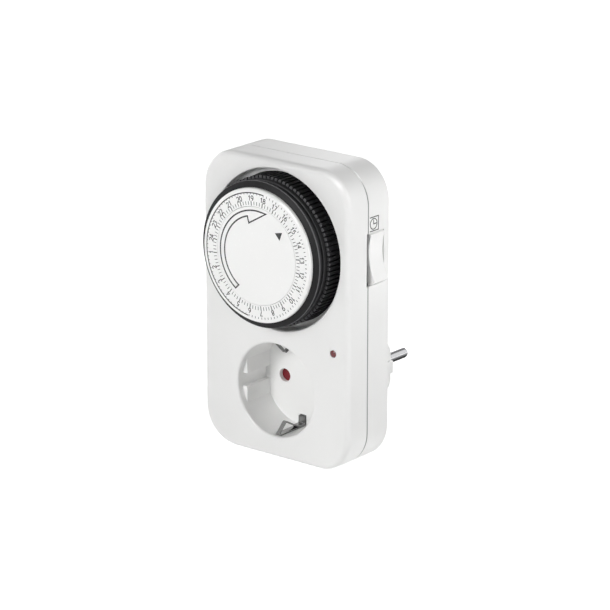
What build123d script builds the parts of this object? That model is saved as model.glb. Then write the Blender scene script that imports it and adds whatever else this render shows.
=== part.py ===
from build123d import *
import math
import os

# Plug-in mechanical timer switch: an earthed plug, a socket and a 24 hour dial.
#
# The origin is the centre of the plug's end face. X runs to the right, Z up, and Y out
# of the timer's back into the wall, so the pins point along +Y. Depths are measured
# from the housing's front face and grow towards the wall. All sizes are millimetres.

# ---- household plug and socket, earthed at the sides ----
PIN_SPACING = 19.0
PIN_RADIUS = 2.4
PIN_STEM = 2.0  # radius inside the plug body
PIN_RELIEF = 0.3  # depth of the ring round the pin's foot
PIN_LENGTH = 19.0
PIN_TIP_ROUNDING = 1.9
PIN_COLLAR = 3.0
PIN_COLLAR_LENGTH = 2.0
PLUG_RADIUS = 18.5
PLUG_DEPTH = 17.5
PLUG_BEVEL = 0.8
PLUG_FLAT = 16.6  # half-width between the side notches
PLUG_NOTCH_HALF = 9.1
PLUG_RIB_HALF = 2.5
PLUG_FLANGE = 3.0  # how far the flange stands out inside the base
WELL_RADIUS = 19.65
WELL_DEPTH = 17.8
WELL_ROUNDING = 0.9
PAD_INNER = 17.3  # half-width between the guide pads
PAD_GROOVE_HALF = 2.8
PAD_START = 3.2
PIN_HOLE_RADIUS = 2.8

# ---- housing ----
HOUSING_WIDTH = 75.0
HOUSING_HEIGHT = 124.5
PLUG_MARGIN = 28.65  # from the housing's lower end to the plug's axis
CORNER_RADIUS = 15.5
FRONT_ROUNDING = 2.5
BACK_ROUNDING = 0.8
SEAM_DEPTH = 12.4
SEAM_BEVEL = 0.4
SIDE_DEPTH = 26.0
WALL = 2.0
LIP_HEIGHT = 1.8
LIP_THICKNESS = 0.9
BASE_DEPTH = 11.0
BASE_RADIUS = 26.8
BASE_DRAFT = 0.8
BASE_SHOULDER = 1.3  # how far the base stands over its hole in the back wall
WELL_WALL = 1.8

# ---- clearances ----
SLIP = 0.1  # pieces that drop into each other
RUN = 0.06  # a shaft in its bearing
GAP = 0.3  # pieces that pass each other
PAST = 1.0  # how far a cut runs past a face
FUSE = 0.5  # how far two lumps of one moulding run into each other

# ---- dial ----
DIAL_SIDE_MARGIN = 4.3  # from the recess to the housing's sides
DIAL_TOP_MARGIN = 3.65
DIAL_WELL_MARGIN = 6.15  # from the recess to the well
DISC_PROUD = 11.5  # scale face in front of the housing
DISC_STEP = 2.25  # from the drum's wall in to the scale's edge
DISC_THICKNESS = 1.8
DISC_ROUNDING = 0.9
SCALE_WIDTH = 7.4
CENTRE_DISC_THICKNESS = 1.7
CENTRE_DISC_GAP = 0.15
CENTRE_STUB = 1.5
CENTRE_STUB_LENGTH = 8.0
BEZEL_LIP = 0.35  # how far the bezel stands over the drum's wall
BEZEL_SLOPE = 0.9
BEZEL_LAND = 0.6
BEZEL_ROUNDING = 0.2
NECK_STEP = 0.95  # from the drum's wall in to the neck
NECK_LENGTH = 2.05
DRUM_WALL = 2.45
DRUM_ROUNDING = 0.3
DRUM_PLATE = 1.5
DRUM_END = 6.5
HUB_RADIUS = 5.0
POST_RADIUS = 3.0
RECESS_DEPTH = 5.0
RECESS_WALL = 1.6
RECESS_LEDGE = 2.1  # floor between the recess's wall and the tabs' hole
RECESS_ROUNDING = 0.5

# ---- 96 quarter-hour tabs in 24 hour groups ----
HOURS = 24
TABS_PER_HOUR = 4
HOUR_ANGLE = 171.4  # where the scale's 24 stands, turning from +X towards +Z
TAB_FRONT = -3.5
TAB_FOOT_LENGTH = 1.0
TAB_HEIGHT = 1.15  # over the drum's wall
TAB_FOOT_REACH = 1.25  # inside the drum's wall
TAB_ROOT_SHARE = 0.76  # of the pitch, at the drum
TAB_TIP_SHARE = 0.6
TAB_ROUNDING = 0.3
RIB_HEIGHT = 0.35
RIB_SHARE = 0.16
RIB_SETBACK = 0.3  # the ribs start behind the tabs' front

# ---- gear train ----
RING_TEETH = 96
RING_SEAT = 0.659  # from the drum's inner wall to the ring's tooth roots
RING_FACE = 3.4
RING_BACKSET = 0.1
RING_RIM = 0.3
WHEEL_MODULE = 0.5
WHEEL_TEETH = 48
WHEEL_FACE = 1.6
PINION_TEETH = 12
ADDENDUM = 0.85  # tooth height past the pitch circle, in modules
DEDENDUM = 1.15
TOOTH_ROOT_SHARE = 0.62
TOOTH_TIP_SHARE = 0.24
SPACE_ROOT_SHARE = 0.34
SPACE_MOUTH_SHARE = 0.76
IDLER_ANGLE = 225.0
IDLER_SHAFT = 1.0
IDLER_BOSS = 2.4
MOTOR_LEAN = 70.0  # direction from the idler to the motor's pinion
MOTOR_SHAFT = 0.8
MOTOR_SHAFT_SUNK = 4.0

# ---- mechanism plate and motor ----
PLATE_DEPTH = 10.5
PLATE_THICKNESS = 1.5
PLATE_MARGIN = 4.5  # from the plate to the housing's sides
PLATE_TOP_MARGIN = 4.05
PLATE_DROP = 0.8  # below the recess
PLATE_CORNER = 11.5
PILLAR_RADIUS = 1.8
PILLAR_OUTSET = 0.2  # the pillars' circle outside the recess's wall
PILLAR_ANGLES = (38.0, 142.0, 204.0, 322.0)
SMALL_SCREW = 0.9
SMALL_SCREW_HEAD = 1.7
SMALL_SCREW_HEAD_HEIGHT = 1.1
PLATE_SCREW_LENGTH = 4.0
MOTOR_SCREW_LENGTH = 3.5
MOTOR_RADIUS = 17.0
MOTOR_ROOM = 0.7  # between the can and the back wall
MOTOR_ROUNDING = 1.2
MOTOR_OFFSET = (3.0, 9.0)  # can centre from its output shaft
MOTOR_EAR_REACH = 20.5
MOTOR_EAR_RADIUS = 2.6
MOTOR_EAR_THICKNESS = 0.9

# ---- follower and snap switch ----
NOSE_HALF = 1.5
NOSE_TIP_HALF = 0.5
NOSE_DEEP = 1.0
NOSE_GAP = 0.2
LEVER_REACH = 18.0
LEVER_THICKNESS = 1.4
LEVER_HALF_WIDTH = 1.5
LEVER_PIN = 1.0
LEVER_BOSS = 1.6
LUG_THICKNESS = 1.2
LUG_HALF = 2.2
SNAP_WIDTH = 12.5
SNAP_HEIGHT = 6.4
SNAP_ROOM = 0.45  # between the switch and the back wall
SNAP_CRADLE = 1.1
SNAP_BUTTON = 1.0
SNAP_BUTTON_GAP = 0.25
SNAP_BUTTON_PROUD = 2.3
SNAP_BUTTON_SUNK = 2.0
SNAP_BUTTON_TRAVEL = 1.25

# ---- side rocker ----
ROCKER_DROP = 0.3  # rocker pivot below the dial's axis
ROCKER_WIDTH = 8.8
ROCKER_START = 13.3
ROCKER_HALF_HEIGHT = 9.7
ROCKER_PROUD = 1.8
ROCKER_SAG = 2.0
ROCKER_ROUNDING = 0.6
ROCKER_EDGE = 0.4  # rounding along its sides
ROCKER_TILT = 6.0
ROCKER_PIVOT_INSET = 3.6
ROCKER_PIN = 1.0
ROCKER_CAP_FLOOR = 1.6  # cap's inner face outside the pivot
ROCKER_WEB_HALF = 3.1
ROCKER_WEB_HEIGHT = 2.2
ROCKER_WINDOW_WALL = 1.0
ROCKER_SLOT = 1.0  # how far the window reaches into the front shell
SWITCH_LENGTH = 9.0
SWITCH_INSET = 3.4
EAR_THICKNESS = 0.9
EAR_HALF = 2.0
EAR_CROWN = 0.2

# ---- indicator ----
LAMP_INSET = 7.7  # from the housing's right side
LAMP_RISE = 21.6
LENS_RADIUS = 1.5
LENS_PROUD = 0.35
LENS_ROUNDING = 0.6
LENS_LENGTH = 4.5
LENS_FLANGE = 2.3
LENS_FLANGE_LENGTH = 0.9
LAMP_TUBE = 3.3
LAMP_TUBE_END = 9.0
BULB_LENGTH = 9.0
BULB_ROUNDING = 1.6

# ---- shutter, contacts and earth ----
SHUTTER_RADIUS = 13.4
SHUTTER_THICKNESS = 1.4
SHUTTER_TURN = 38.0
SHUTTER_PIN = 2.0
CARRIER_RADIUS = 21.0
CARRIER_THICKNESS = 2.2
SLEEVE_BORE = 2.5
SLEEVE_OUTER = 3.1
SLEEVE_LENGTH = 16.2
SLEEVE_STOP = 1.2
SLEEVE_SLIT_HALF = 0.4
SLEEVE_SLIT_END = 3.0
STRIP = 0.6
STRIP_HALF_WIDTH = 1.6
STRIP_BEND = 0.5
CLIP_WALL = 19.2  # centre line of the clip beside the well's wall
CLIP_SLOT_INNER = 14.9
CLIP_FRONT = 1.7
CLIP_PEAK = (8.1, 15.4)
CLIP_VALLEY = (14.2, 18.3)
CLIP_END = 15.6
EARTH_BRIDGE_DEPTH = 25.0
BAND_HALF_WIDTH = 3.0
BAND_THICKNESS = 0.8
BAND_REACH = 13.5

# ---- housing screws ----
BOSS_OFFSET = 7.4  # from a corner's centre, along X and Z
BOSS_RADIUS = 3.0
COLUMN_RADIUS = 4.2
SCREW_RADIUS = 1.4
SCREW_HEAD_RADIUS = 2.7
SCREW_HEAD = 1.8
SCREW_LENGTH = 13.0
SCREW_SLOT = 0.7
COUNTERBORE = 3.1
COUNTERBORE_DEPTH = 5.0

# ---- worked-out places ----
BASE_END = SIDE_DEPTH + BASE_DEPTH
PLUG_END = BASE_END + PLUG_DEPTH
FRONT_Y = -PLUG_END
HALF_WIDTH = HOUSING_WIDTH / 2
HOUSING_RISE = HOUSING_HEIGHT / 2 - PLUG_MARGIN
HOUSING_TOP = HOUSING_HEIGHT - PLUG_MARGIN
INNER_BACK = SIDE_DEPTH - WALL
PIN_X = PIN_SPACING / 2
BASE_TIP_RADIUS = BASE_RADIUS - BASE_DRAFT
BASE_SPIGOT = BASE_RADIUS - BASE_SHOULDER
BASE_BORE = BASE_TIP_RADIUS - WALL
WELL_BACK = WELL_DEPTH + WELL_WALL
DIAL_ROOM = HOUSING_TOP - DIAL_TOP_MARGIN - DIAL_WELL_MARGIN - WELL_RADIUS
RECESS_RADIUS = min(HALF_WIDTH - DIAL_SIDE_MARGIN, DIAL_ROOM / 2)
DIAL_RISE = HOUSING_TOP - DIAL_TOP_MARGIN - RECESS_RADIUS
RECESS_BACK = RECESS_DEPTH + RECESS_WALL
RECESS_HOLE = RECESS_RADIUS - RECESS_LEDGE
TAB_OUTER = RECESS_HOLE - GAP
DRUM_RADIUS = TAB_OUTER - TAB_HEIGHT
DRUM_INNER = DRUM_RADIUS - DRUM_WALL
NECK_RADIUS = DRUM_RADIUS - NECK_STEP
BEZEL_RADIUS = DRUM_RADIUS + BEZEL_LIP
DISC_RADIUS = DRUM_RADIUS - DISC_STEP
CENTRE_DISC_RADIUS = DISC_RADIUS - SCALE_WIDTH
REBATE = WALL - LIP_THICKNESS - SLIP  # shell wall left outside the lip
LIP_START = SEAM_DEPTH - LIP_HEIGHT
DISC_BACK = DISC_THICKNESS - DISC_PROUD
BEZEL_FRONT = DISC_BACK + BEZEL_SLOPE
NECK_FRONT = BEZEL_FRONT + BEZEL_LAND + (BEZEL_RADIUS - NECK_RADIUS) / 2
NECK_BACK = NECK_FRONT + NECK_LENGTH
POST_FRONT = CENTRE_DISC_THICKNESS - DISC_PROUD
TABS = HOURS * TABS_PER_HOUR
TAB_PITCH = 360 / TABS
TAB_INNER = DRUM_RADIUS + SLIP
TAB_FOOT_INNER = DRUM_RADIUS - TAB_FOOT_REACH
TAB_FOOT_START = DRUM_END + SLIP
TAB_END = TAB_FOOT_START + TAB_FOOT_LENGTH
RING_ROOT = DRUM_INNER - RING_SEAT
RING_MODULE = RING_ROOT / (RING_TEETH / 2 + DEDENDUM)
RING_PITCH_RADIUS = RING_MODULE * RING_TEETH / 2
RING_END = DRUM_END - RING_BACKSET
RING_START = RING_END - RING_FACE
IDLER_REACH = RING_PITCH_RADIUS - RING_MODULE * PINION_TEETH / 2
MOTOR_REACH = WHEEL_MODULE * (WHEEL_TEETH + PINION_TEETH) / 2
PLATE_BACK = PLATE_DEPTH + PLATE_THICKNESS
PLATE_HALF_WIDTH = HALF_WIDTH - PLATE_MARGIN
PLATE_BOTTOM = DIAL_RISE - RECESS_RADIUS - PLATE_DROP
PLATE_TOP = HOUSING_TOP - PLATE_TOP_MARGIN
PILLAR_CIRCLE = RECESS_RADIUS + PILLAR_OUTSET
WHEEL_START = PLATE_BACK + GAP
WHEEL_END = WHEEL_START + WHEEL_FACE
MOTOR_FRONT = WHEEL_END + 2 * GAP
MOTOR_BACK = INNER_BACK - MOTOR_ROOM
MOTOR_EAR_BACK = MOTOR_FRONT + MOTOR_EAR_THICKNESS
SMALL_HOLE = SMALL_SCREW + RUN
LEVER_START = PLATE_BACK + 2 * GAP
LEVER_BACK = LEVER_START + LEVER_THICKNESS
LEVER_PIVOT_DEPTH = PLATE_BACK + GAP + LEVER_BOSS
SNAP_START = LEVER_BACK + SNAP_BUTTON_GAP + SNAP_BUTTON_PROUD
SNAP_BACK = INNER_BACK - SNAP_ROOM
CARRIER_START = WELL_BACK + SHUTTER_THICKNESS + 2 * GAP
CARRIER_END = CARRIER_START + CARRIER_THICKNESS
SLEEVE_START = CARRIER_START + 2 * GAP
SLEEVE_END = SLEEVE_START + SLEEVE_LENGTH
FLANGE_END = BASE_END - WALL
FLANGE_START = FLANGE_END - WELL_WALL
BAND_END = BASE_END + BAND_REACH
LAMP_X = HALF_WIDTH - LAMP_INSET
ROCKER_RISE = DIAL_RISE - ROCKER_DROP
ROCKER_MIDDLE = ROCKER_START + ROCKER_WIDTH / 2
ROCKER_PIVOT_X = HALF_WIDTH - ROCKER_PIVOT_INSET
ROCKER_FACE = ROCKER_PIVOT_INSET + ROCKER_PROUD
ROCKER_SWEEP = math.hypot(ROCKER_HALF_HEIGHT, ROCKER_FACE)
ROCKER_MOUTH = math.sqrt(ROCKER_SWEEP**2 - (ROCKER_PIVOT_INSET - ROCKER_WINDOW_WALL) ** 2) + SLIP


def on_circle(radius, angle, x=0.0, z=0.0):
    """Return the X and Z of a point on a circle about x, z."""
    turn = math.radians(angle)
    return (x + radius * math.cos(turn), z + radius * math.sin(turn))


IDLER = on_circle(IDLER_REACH, IDLER_ANGLE, 0, DIAL_RISE)
OUTPUT = on_circle(MOTOR_REACH, MOTOR_LEAN, *IDLER)
MOTOR = (OUTPUT[0] + MOTOR_OFFSET[0], OUTPUT[1] + MOTOR_OFFSET[1])
MOTOR_EARS = [(MOTOR[0] + side * MOTOR_EAR_REACH, MOTOR[1]) for side in (-1, 1)]
PILLARS = [on_circle(PILLAR_CIRCLE, angle, 0, DIAL_RISE) for angle in PILLAR_ANGLES]
NOSE_RISE = DIAL_RISE - (TAB_FOOT_INNER + TAB_OUTER) / 2
SNAP_X = LEVER_REACH / 2
BOSS_X = HALF_WIDTH - CORNER_RADIUS + BOSS_OFFSET
BOSS_REACH = HOUSING_HEIGHT / 2 - CORNER_RADIUS + BOSS_OFFSET
SCREW_PLACES = [
    (side * BOSS_X, HOUSING_RISE + level * BOSS_REACH) for side in (-1, 1) for level in (-1, 1)
]


# ---- drawing helpers ----
def prism(section, start, end):
    """Push a section drawn in X and Z from one depth to another."""
    plane = Plane.XZ.offset(-(FRONT_Y + start))
    return extrude(plane * section, amount=start - end)


def rod(x, z, radius, start, end):
    """Make a round bar along Y."""
    return prism(Pos(x, z) * Circle(radius), start, end)


def block(x_limits, z_limits, start, end):
    """Make a box from its limits, which may come in either order."""
    x_from, x_to = sorted(x_limits)
    z_from, z_to = sorted(z_limits)
    centre = Pos((x_from + x_to) / 2, (z_from + z_to) / 2)
    return prism(centre * Rectangle(x_to - x_from, z_to - z_from), start, end)


def turned(outline, rise=0.0):
    """Spin an outline of (radius, depth) points about the axis along Y at a rise."""
    points = [(radius, FRONT_Y + depth, rise) for radius, depth in outline]
    face = make_face(Polyline(*points, close=True))
    return revolve(face, Axis((0, 0, rise), (0, 1, 0)), 360)


def housing_outline(inset=0.0):
    """Draw the housing's rounded outline, moved inwards by inset."""
    width = HOUSING_WIDTH - 2 * inset
    height = HOUSING_HEIGHT - 2 * inset
    return Pos(0, HOUSING_RISE) * RectangleRounded(width, height, CORNER_RADIUS - inset)


def polygon(points):
    """Draw a closed outline through (radius, angle) points."""
    return make_face(Polyline(*[on_circle(radius, angle) for radius, angle in points], close=True))


def toothed(count, root, tip, root_share, tip_share, phase):
    """Draw an outline with count straight-sided teeth, one of them centred on phase."""
    pitch = 360 / count
    corners = []
    for tooth in range(count):
        middle = phase + tooth * pitch
        corners.append((root, middle - root_share * pitch / 2))
        corners.append((tip, middle - tip_share * pitch / 2))
        corners.append((tip, middle + tip_share * pitch / 2))
        corners.append((root, middle + root_share * pitch / 2))
    return polygon(corners)


def gear_outline(count, module, phase):
    """Draw a spur gear whose teeth leave a little backlash."""
    pitch_radius = module * count / 2
    root = pitch_radius - DEDENDUM * module
    tip = pitch_radius + ADDENDUM * module
    return toothed(count, root, tip, TOOTH_ROOT_SHARE, TOOTH_TIP_SHARE, phase)


def front_of(shape):
    """Return the face nearest the front."""
    return shape.faces().sort_by(Axis.Y)[0]


def back_of(shape):
    """Return the face nearest the wall."""
    return shape.faces().sort_by(Axis.Y)[-1]


def rim_at_front(shape, radius):
    """Return the circular edge of about this radius in the housing's front face."""
    circles = shape.edges().filter_by(GeomType.CIRCLE)
    in_front = circles.filter_by_position(Axis.Y, FRONT_Y - SLIP, FRONT_Y + SLIP)
    return in_front.sort_by(lambda edge: abs(edge.radius - radius))[0]


def rims(shape, radius):
    """Return the circular edges of just this radius, the foremost first."""
    circles = shape.edges().filter_by(GeomType.CIRCLE)
    return circles.filter_by(lambda edge: abs(edge.radius - radius) < RUN).sort_by(Axis.Y)


# ---- housing ----
def guide_pad(side, level):
    """Make one of the four flat pads that steer a plug into the well."""
    reach = WELL_RADIUS + WELL_WALL / 2
    pad = block((side * PAD_INNER, side * reach), (level * PAD_GROOVE_HALF, level * reach),
                PAD_START, WELL_DEPTH + FUSE)
    return pad & rod(0, 0, reach, 0, WELL_BACK)


def clip_slot(side):
    """Cut the slot in the well's floor that an earth clip comes through."""
    slot_half = STRIP_HALF_WIDTH + SLIP
    limits = (side * CLIP_SLOT_INNER, side * (WELL_RADIUS - SLIP))
    return block((-slot_half, slot_half), limits, WELL_DEPTH - PAST, WELL_BACK + PAST)


def rocker_window(x_limits, half_height, start):
    """Cut the side wall open around the rocker, from a start depth."""
    heights = (ROCKER_RISE - half_height, ROCKER_RISE + half_height)
    return block(x_limits, heights, start, ROCKER_START + ROCKER_WIDTH + GAP)


def front_shell():
    """Front half of the housing, with the dial's recess and the socket's well."""
    shell = prism(housing_outline(), 0, SEAM_DEPTH)
    shell = fillet(front_of(shell).edges(), FRONT_ROUNDING)
    shell = chamfer(back_of(shell).edges(), SEAM_BEVEL)
    shell -= prism(housing_outline(WALL), WALL, SEAM_DEPTH + PAST)
    shell -= prism(housing_outline(REBATE), LIP_START - SLIP, SEAM_DEPTH + PAST)

    shell += rod(0, DIAL_RISE, RECESS_RADIUS + RECESS_WALL, WALL / 2, RECESS_BACK)
    shell += rod(0, 0, WELL_RADIUS + WELL_WALL, WALL / 2, WELL_BACK)
    shell -= rod(0, DIAL_RISE, RECESS_RADIUS, -PAST, RECESS_DEPTH)
    shell -= rod(0, DIAL_RISE, RECESS_HOLE, 0, RECESS_BACK + PAST)
    shell -= rod(0, 0, WELL_RADIUS, -PAST, WELL_DEPTH)
    shell = fillet(rim_at_front(shell, RECESS_RADIUS), RECESS_ROUNDING)
    shell = fillet(rim_at_front(shell, WELL_RADIUS), WELL_ROUNDING)
    for side in (-1, 1):
        for level in (-1, 1):
            shell += guide_pad(side, level)
        shell -= rod(side * PIN_X, 0, PIN_HOLE_RADIUS, WELL_DEPTH - PAST, WELL_BACK + PAST)
        shell -= clip_slot(side)

    shell += rod(LAMP_X, LAMP_RISE, LAMP_TUBE, WALL / 2, LAMP_TUBE_END)
    shell -= rod(LAMP_X, LAMP_RISE, LENS_FLANGE + SLIP, WALL, LAMP_TUBE_END + PAST)
    shell -= rod(LAMP_X, LAMP_RISE, LENS_RADIUS + RUN, -PAST, WALL + PAST)
    for x, z in PILLARS:
        shell += rod(x, z, PILLAR_RADIUS, RECESS_BACK - FUSE, PLATE_DEPTH)
        shell -= rod(x, z, SMALL_HOLE, RECESS_BACK, PLATE_DEPTH + PAST)
    for x, z in SCREW_PLACES:
        shell += rod(x, z, BOSS_RADIUS, WALL / 2, SEAM_DEPTH)
        shell -= rod(x, z, SCREW_RADIUS + RUN, 2 * WALL, SEAM_DEPTH + PAST)
    slot = (HALF_WIDTH - WALL, HALF_WIDTH + PAST)
    return shell - rocker_window(slot, ROCKER_MOUTH, SEAM_DEPTH - ROCKER_SLOT)


def back_shell():
    """Back half of the housing, with the base's hole and the rocker's window."""
    shell = prism(housing_outline(), SEAM_DEPTH, SIDE_DEPTH)
    shell = fillet(back_of(shell).edges(), BACK_ROUNDING)
    shell = chamfer(front_of(shell).edges(), SEAM_BEVEL)
    shell += prism(housing_outline(WALL - LIP_THICKNESS), LIP_START, SEAM_DEPTH + FUSE)
    shell -= prism(housing_outline(WALL), LIP_START - PAST, INNER_BACK)
    shell -= rod(0, 0, BASE_SPIGOT + SLIP, INNER_BACK - PAST, SIDE_DEPTH + PAST)

    inside = prism(housing_outline(WALL / 2), SEAM_DEPTH, SIDE_DEPTH - WALL / 2)
    for x, z in SCREW_PLACES:
        shell += rod(x, z, COLUMN_RADIUS, SEAM_DEPTH, SIDE_DEPTH) & inside
        shell -= rod(x, z, SCREW_RADIUS + SLIP, SEAM_DEPTH - PAST, SIDE_DEPTH + PAST)
        shell -= rod(x, z, COUNTERBORE, SIDE_DEPTH - COUNTERBORE_DEPTH, SIDE_DEPTH + PAST)
    pocket = (HALF_WIDTH - 2 * WALL, HALF_WIDTH - ROCKER_WINDOW_WALL)
    shell -= rocker_window(pocket, ROCKER_SWEEP + SLIP, LIP_START - PAST)
    through = (HALF_WIDTH - 2 * WALL, HALF_WIDTH + PAST)
    return shell - rocker_window(through, ROCKER_MOUTH, LIP_START - PAST)


def housing_screws():
    """Four pan-head screws that pull the two shells together from behind."""
    seat = SIDE_DEPTH - COUNTERBORE_DEPTH
    screws = []
    for x, z in SCREW_PLACES:
        head = rod(x, z, SCREW_HEAD_RADIUS, seat, seat + SCREW_HEAD)
        screw = fillet(back_of(head).edges(), SCREW_HEAD / 2)
        screw += rod(x, z, SCREW_RADIUS, seat - SCREW_LENGTH, seat)
        for turn in (0, 90):
            slot = Rectangle(SCREW_HEAD_RADIUS, SCREW_SLOT, rotation=turn)
            screw -= prism(Pos(x, z) * slot, seat + SCREW_HEAD / 2, seat + SCREW_HEAD + PAST)
        screws.append(screw)
    return screws


# ---- plug ----
def plug_base():
    """Raised round base whose spigot sits in the back wall and whose end holds the plug."""
    return turned([
        (BASE_BORE, INNER_BACK),
        (BASE_SPIGOT, INNER_BACK),
        (BASE_SPIGOT, SIDE_DEPTH),
        (BASE_RADIUS, SIDE_DEPTH),
        (BASE_TIP_RADIUS, BASE_END - BACK_ROUNDING),
        (BASE_TIP_RADIUS - BACK_ROUNDING, BASE_END),
        (PLUG_RADIUS + SLIP, BASE_END),
        (PLUG_RADIUS + SLIP, FLANGE_END),
        (BASE_BORE, FLANGE_END),
    ])


def plug_body():
    """Round plug body with guide ribs in its side notches and an inner flange."""
    body = rod(0, 0, PLUG_RADIUS, FLANGE_END - FUSE, PLUG_END)
    body = chamfer(back_of(body).edges(), PLUG_BEVEL)
    for side in (-1, 1):
        body -= block((side * PLUG_FLAT, side * (PLUG_RADIUS + PAST)),
                      (-PLUG_NOTCH_HALF, PLUG_NOTCH_HALF), BASE_END, PLUG_END + PAST)
    ribs = block((-PLUG_RADIUS, PLUG_RADIUS), (-PLUG_RIB_HALF, PLUG_RIB_HALF), BASE_END, PLUG_END)
    ribs = chamfer(back_of(ribs).edges().filter_by(Axis.Z), PLUG_BEVEL)
    body += ribs & rod(0, 0, PLUG_RADIUS - SLIP, BASE_END, PLUG_END)
    body += rod(0, 0, PLUG_RADIUS + PLUG_FLANGE, FLANGE_START, FLANGE_END)
    band_half = BAND_HALF_WIDTH + SLIP
    for side in (-1, 1):
        limits = (side * (PLUG_RADIUS - BAND_THICKNESS), side * (PLUG_RADIUS + PLUG_FLANGE + PAST))
        body -= block((-band_half, band_half), limits, FLANGE_START - PAST, BAND_END + SLIP)
        x = side * PIN_X
        body -= rod(x, 0, SLEEVE_OUTER + GAP, FLANGE_START - PAST, SLEEVE_END)
        body -= rod(x, 0, PIN_COLLAR, FLANGE_START, SLEEVE_END + PIN_COLLAR_LENGTH)
        body -= rod(x, 0, PIN_STEM, FLANGE_START, PLUG_END + PAST)
        body -= rod(x, 0, PIN_RADIUS + SLIP, PLUG_END - PIN_RELIEF, PLUG_END + PAST)
    return body


def plug_pin(side):
    """Solid round pin with a rounded tip, and its stem and collar in the plug body."""
    x = side * PIN_X
    pin = rod(x, 0, PIN_RADIUS, PLUG_END, PLUG_END + PIN_LENGTH)
    pin = fillet(back_of(pin).edges(), PIN_TIP_ROUNDING)
    pin += rod(x, 0, PIN_STEM, SLEEVE_END, PLUG_END + FUSE)
    return pin + rod(x, 0, PIN_COLLAR, SLEEVE_END, SLEEVE_END + PIN_COLLAR_LENGTH)


def earth_band():
    """Bridge behind the well with an outer contact along the plug's top and bottom."""
    start = EARTH_BRIDGE_DEPTH + STRIP
    widths = (-BAND_HALF_WIDTH, BAND_HALF_WIDTH)
    band = block(widths, (-PLUG_RADIUS, PLUG_RADIUS), start, start + STRIP)
    for side in (-1, 1):
        limits = (side * (PLUG_RADIUS - BAND_THICKNESS), side * PLUG_RADIUS)
        contact = block(widths, limits, start, BAND_END)
        ends = back_of(contact).edges().filter_by(Axis.X).sort_by(Axis.Z)
        nose = ends[-1] if side > 0 else ends[0]
        band += chamfer(nose, BAND_THICKNESS / 2)
    return band & rod(0, 0, PLUG_RADIUS, start, BAND_END)


def earth_clip():
    """Strap with a folded spring contact at the top and bottom of the well."""
    bridge_half = CLIP_WALL - PAST
    clip = block((-STRIP_HALF_WIDTH, STRIP_HALF_WIDTH), (-bridge_half, bridge_half),
                 EARTH_BRIDGE_DEPTH, EARTH_BRIDGE_DEPTH + STRIP)
    back = EARTH_BRIDGE_DEPTH + STRIP / 2
    path = [
        (back, CLIP_WALL / 2),
        (back, CLIP_WALL),
        (CLIP_FRONT, CLIP_WALL),
        CLIP_PEAK,
        CLIP_VALLEY,
        (WELL_DEPTH + SLIP, CLIP_END),
    ]
    for side in (-1, 1):
        points = [(FRONT_Y + depth, side * z) for depth, z in path]
        section = trace(FilletPolyline(*points, radius=STRIP_BEND), line_width=STRIP)
        clip += extrude(Plane.YZ * section, amount=STRIP_HALF_WIDTH, both=True)
    return clip


# ---- socket contacts and shutter ----
def contact_carrier():
    """Moulded plate behind the well that holds the sleeves and the shutter's pin."""
    carrier = rod(0, 0, CARRIER_RADIUS, WELL_BACK, CARRIER_END)
    carrier -= rod(0, 0, SHUTTER_RADIUS + GAP, WELL_BACK - PAST, CARRIER_START)
    carrier += rod(0, 0, SHUTTER_PIN, WELL_BACK, CARRIER_END)
    slot_half = STRIP_HALF_WIDTH + SLIP
    for side in (-1, 1):
        carrier -= rod(side * PIN_X, 0, SLEEVE_OUTER, CARRIER_START - PAST, CARRIER_END + PAST)
        limits = (side * (CLIP_WALL - 2 * STRIP), side * (CARRIER_RADIUS + PAST))
        carrier -= block((-slot_half, slot_half), limits, WELL_DEPTH, CARRIER_END + PAST)
    return carrier


def shutter():
    """Red safety disc whose windows stand beside the pin holes until it is turned."""
    start = WELL_BACK + GAP
    end = start + SHUTTER_THICKNESS
    disc = rod(0, 0, SHUTTER_RADIUS, start, end)
    disc -= rod(0, 0, SHUTTER_PIN + RUN, start - PAST, end + PAST)
    for turn in (SHUTTER_TURN, SHUTTER_TURN + 180):
        x, z = on_circle(PIN_X, turn)
        disc -= rod(x, z, PIN_HOLE_RADIUS + GAP, start - PAST, end + PAST)
    return disc


def contact_sleeve(side):
    """Split sprung sleeve that grips an inserted pin."""
    x = side * PIN_X
    sleeve = rod(x, 0, SLEEVE_OUTER, SLEEVE_START, SLEEVE_END)
    sleeve -= rod(x, 0, SLEEVE_BORE, SLEEVE_START - PAST, SLEEVE_END - SLEEVE_STOP)
    widths = (x - SLEEVE_SLIT_HALF, x + SLEEVE_SLIT_HALF)
    return sleeve - block(widths, (0, SLEEVE_OUTER + PAST), SLEEVE_START - PAST,
                          SLEEVE_END - SLEEVE_SLIT_END)


# ---- indicator ----
def indicator_lens():
    """Domed red light pipe with a flange behind the front wall."""
    lens = rod(LAMP_X, LAMP_RISE, LENS_RADIUS, -LENS_PROUD, LENS_LENGTH)
    lens = fillet(front_of(lens).edges(), LENS_ROUNDING)
    return lens + rod(LAMP_X, LAMP_RISE, LENS_FLANGE, WALL, WALL + LENS_FLANGE_LENGTH)


def indicator_lamp():
    """Glow lamp behind the lens."""
    bulb = rod(LAMP_X, LAMP_RISE, LENS_FLANGE, LENS_LENGTH, LENS_LENGTH + BULB_LENGTH)
    return fillet(front_of(bulb).edges(), BULB_ROUNDING)


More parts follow.
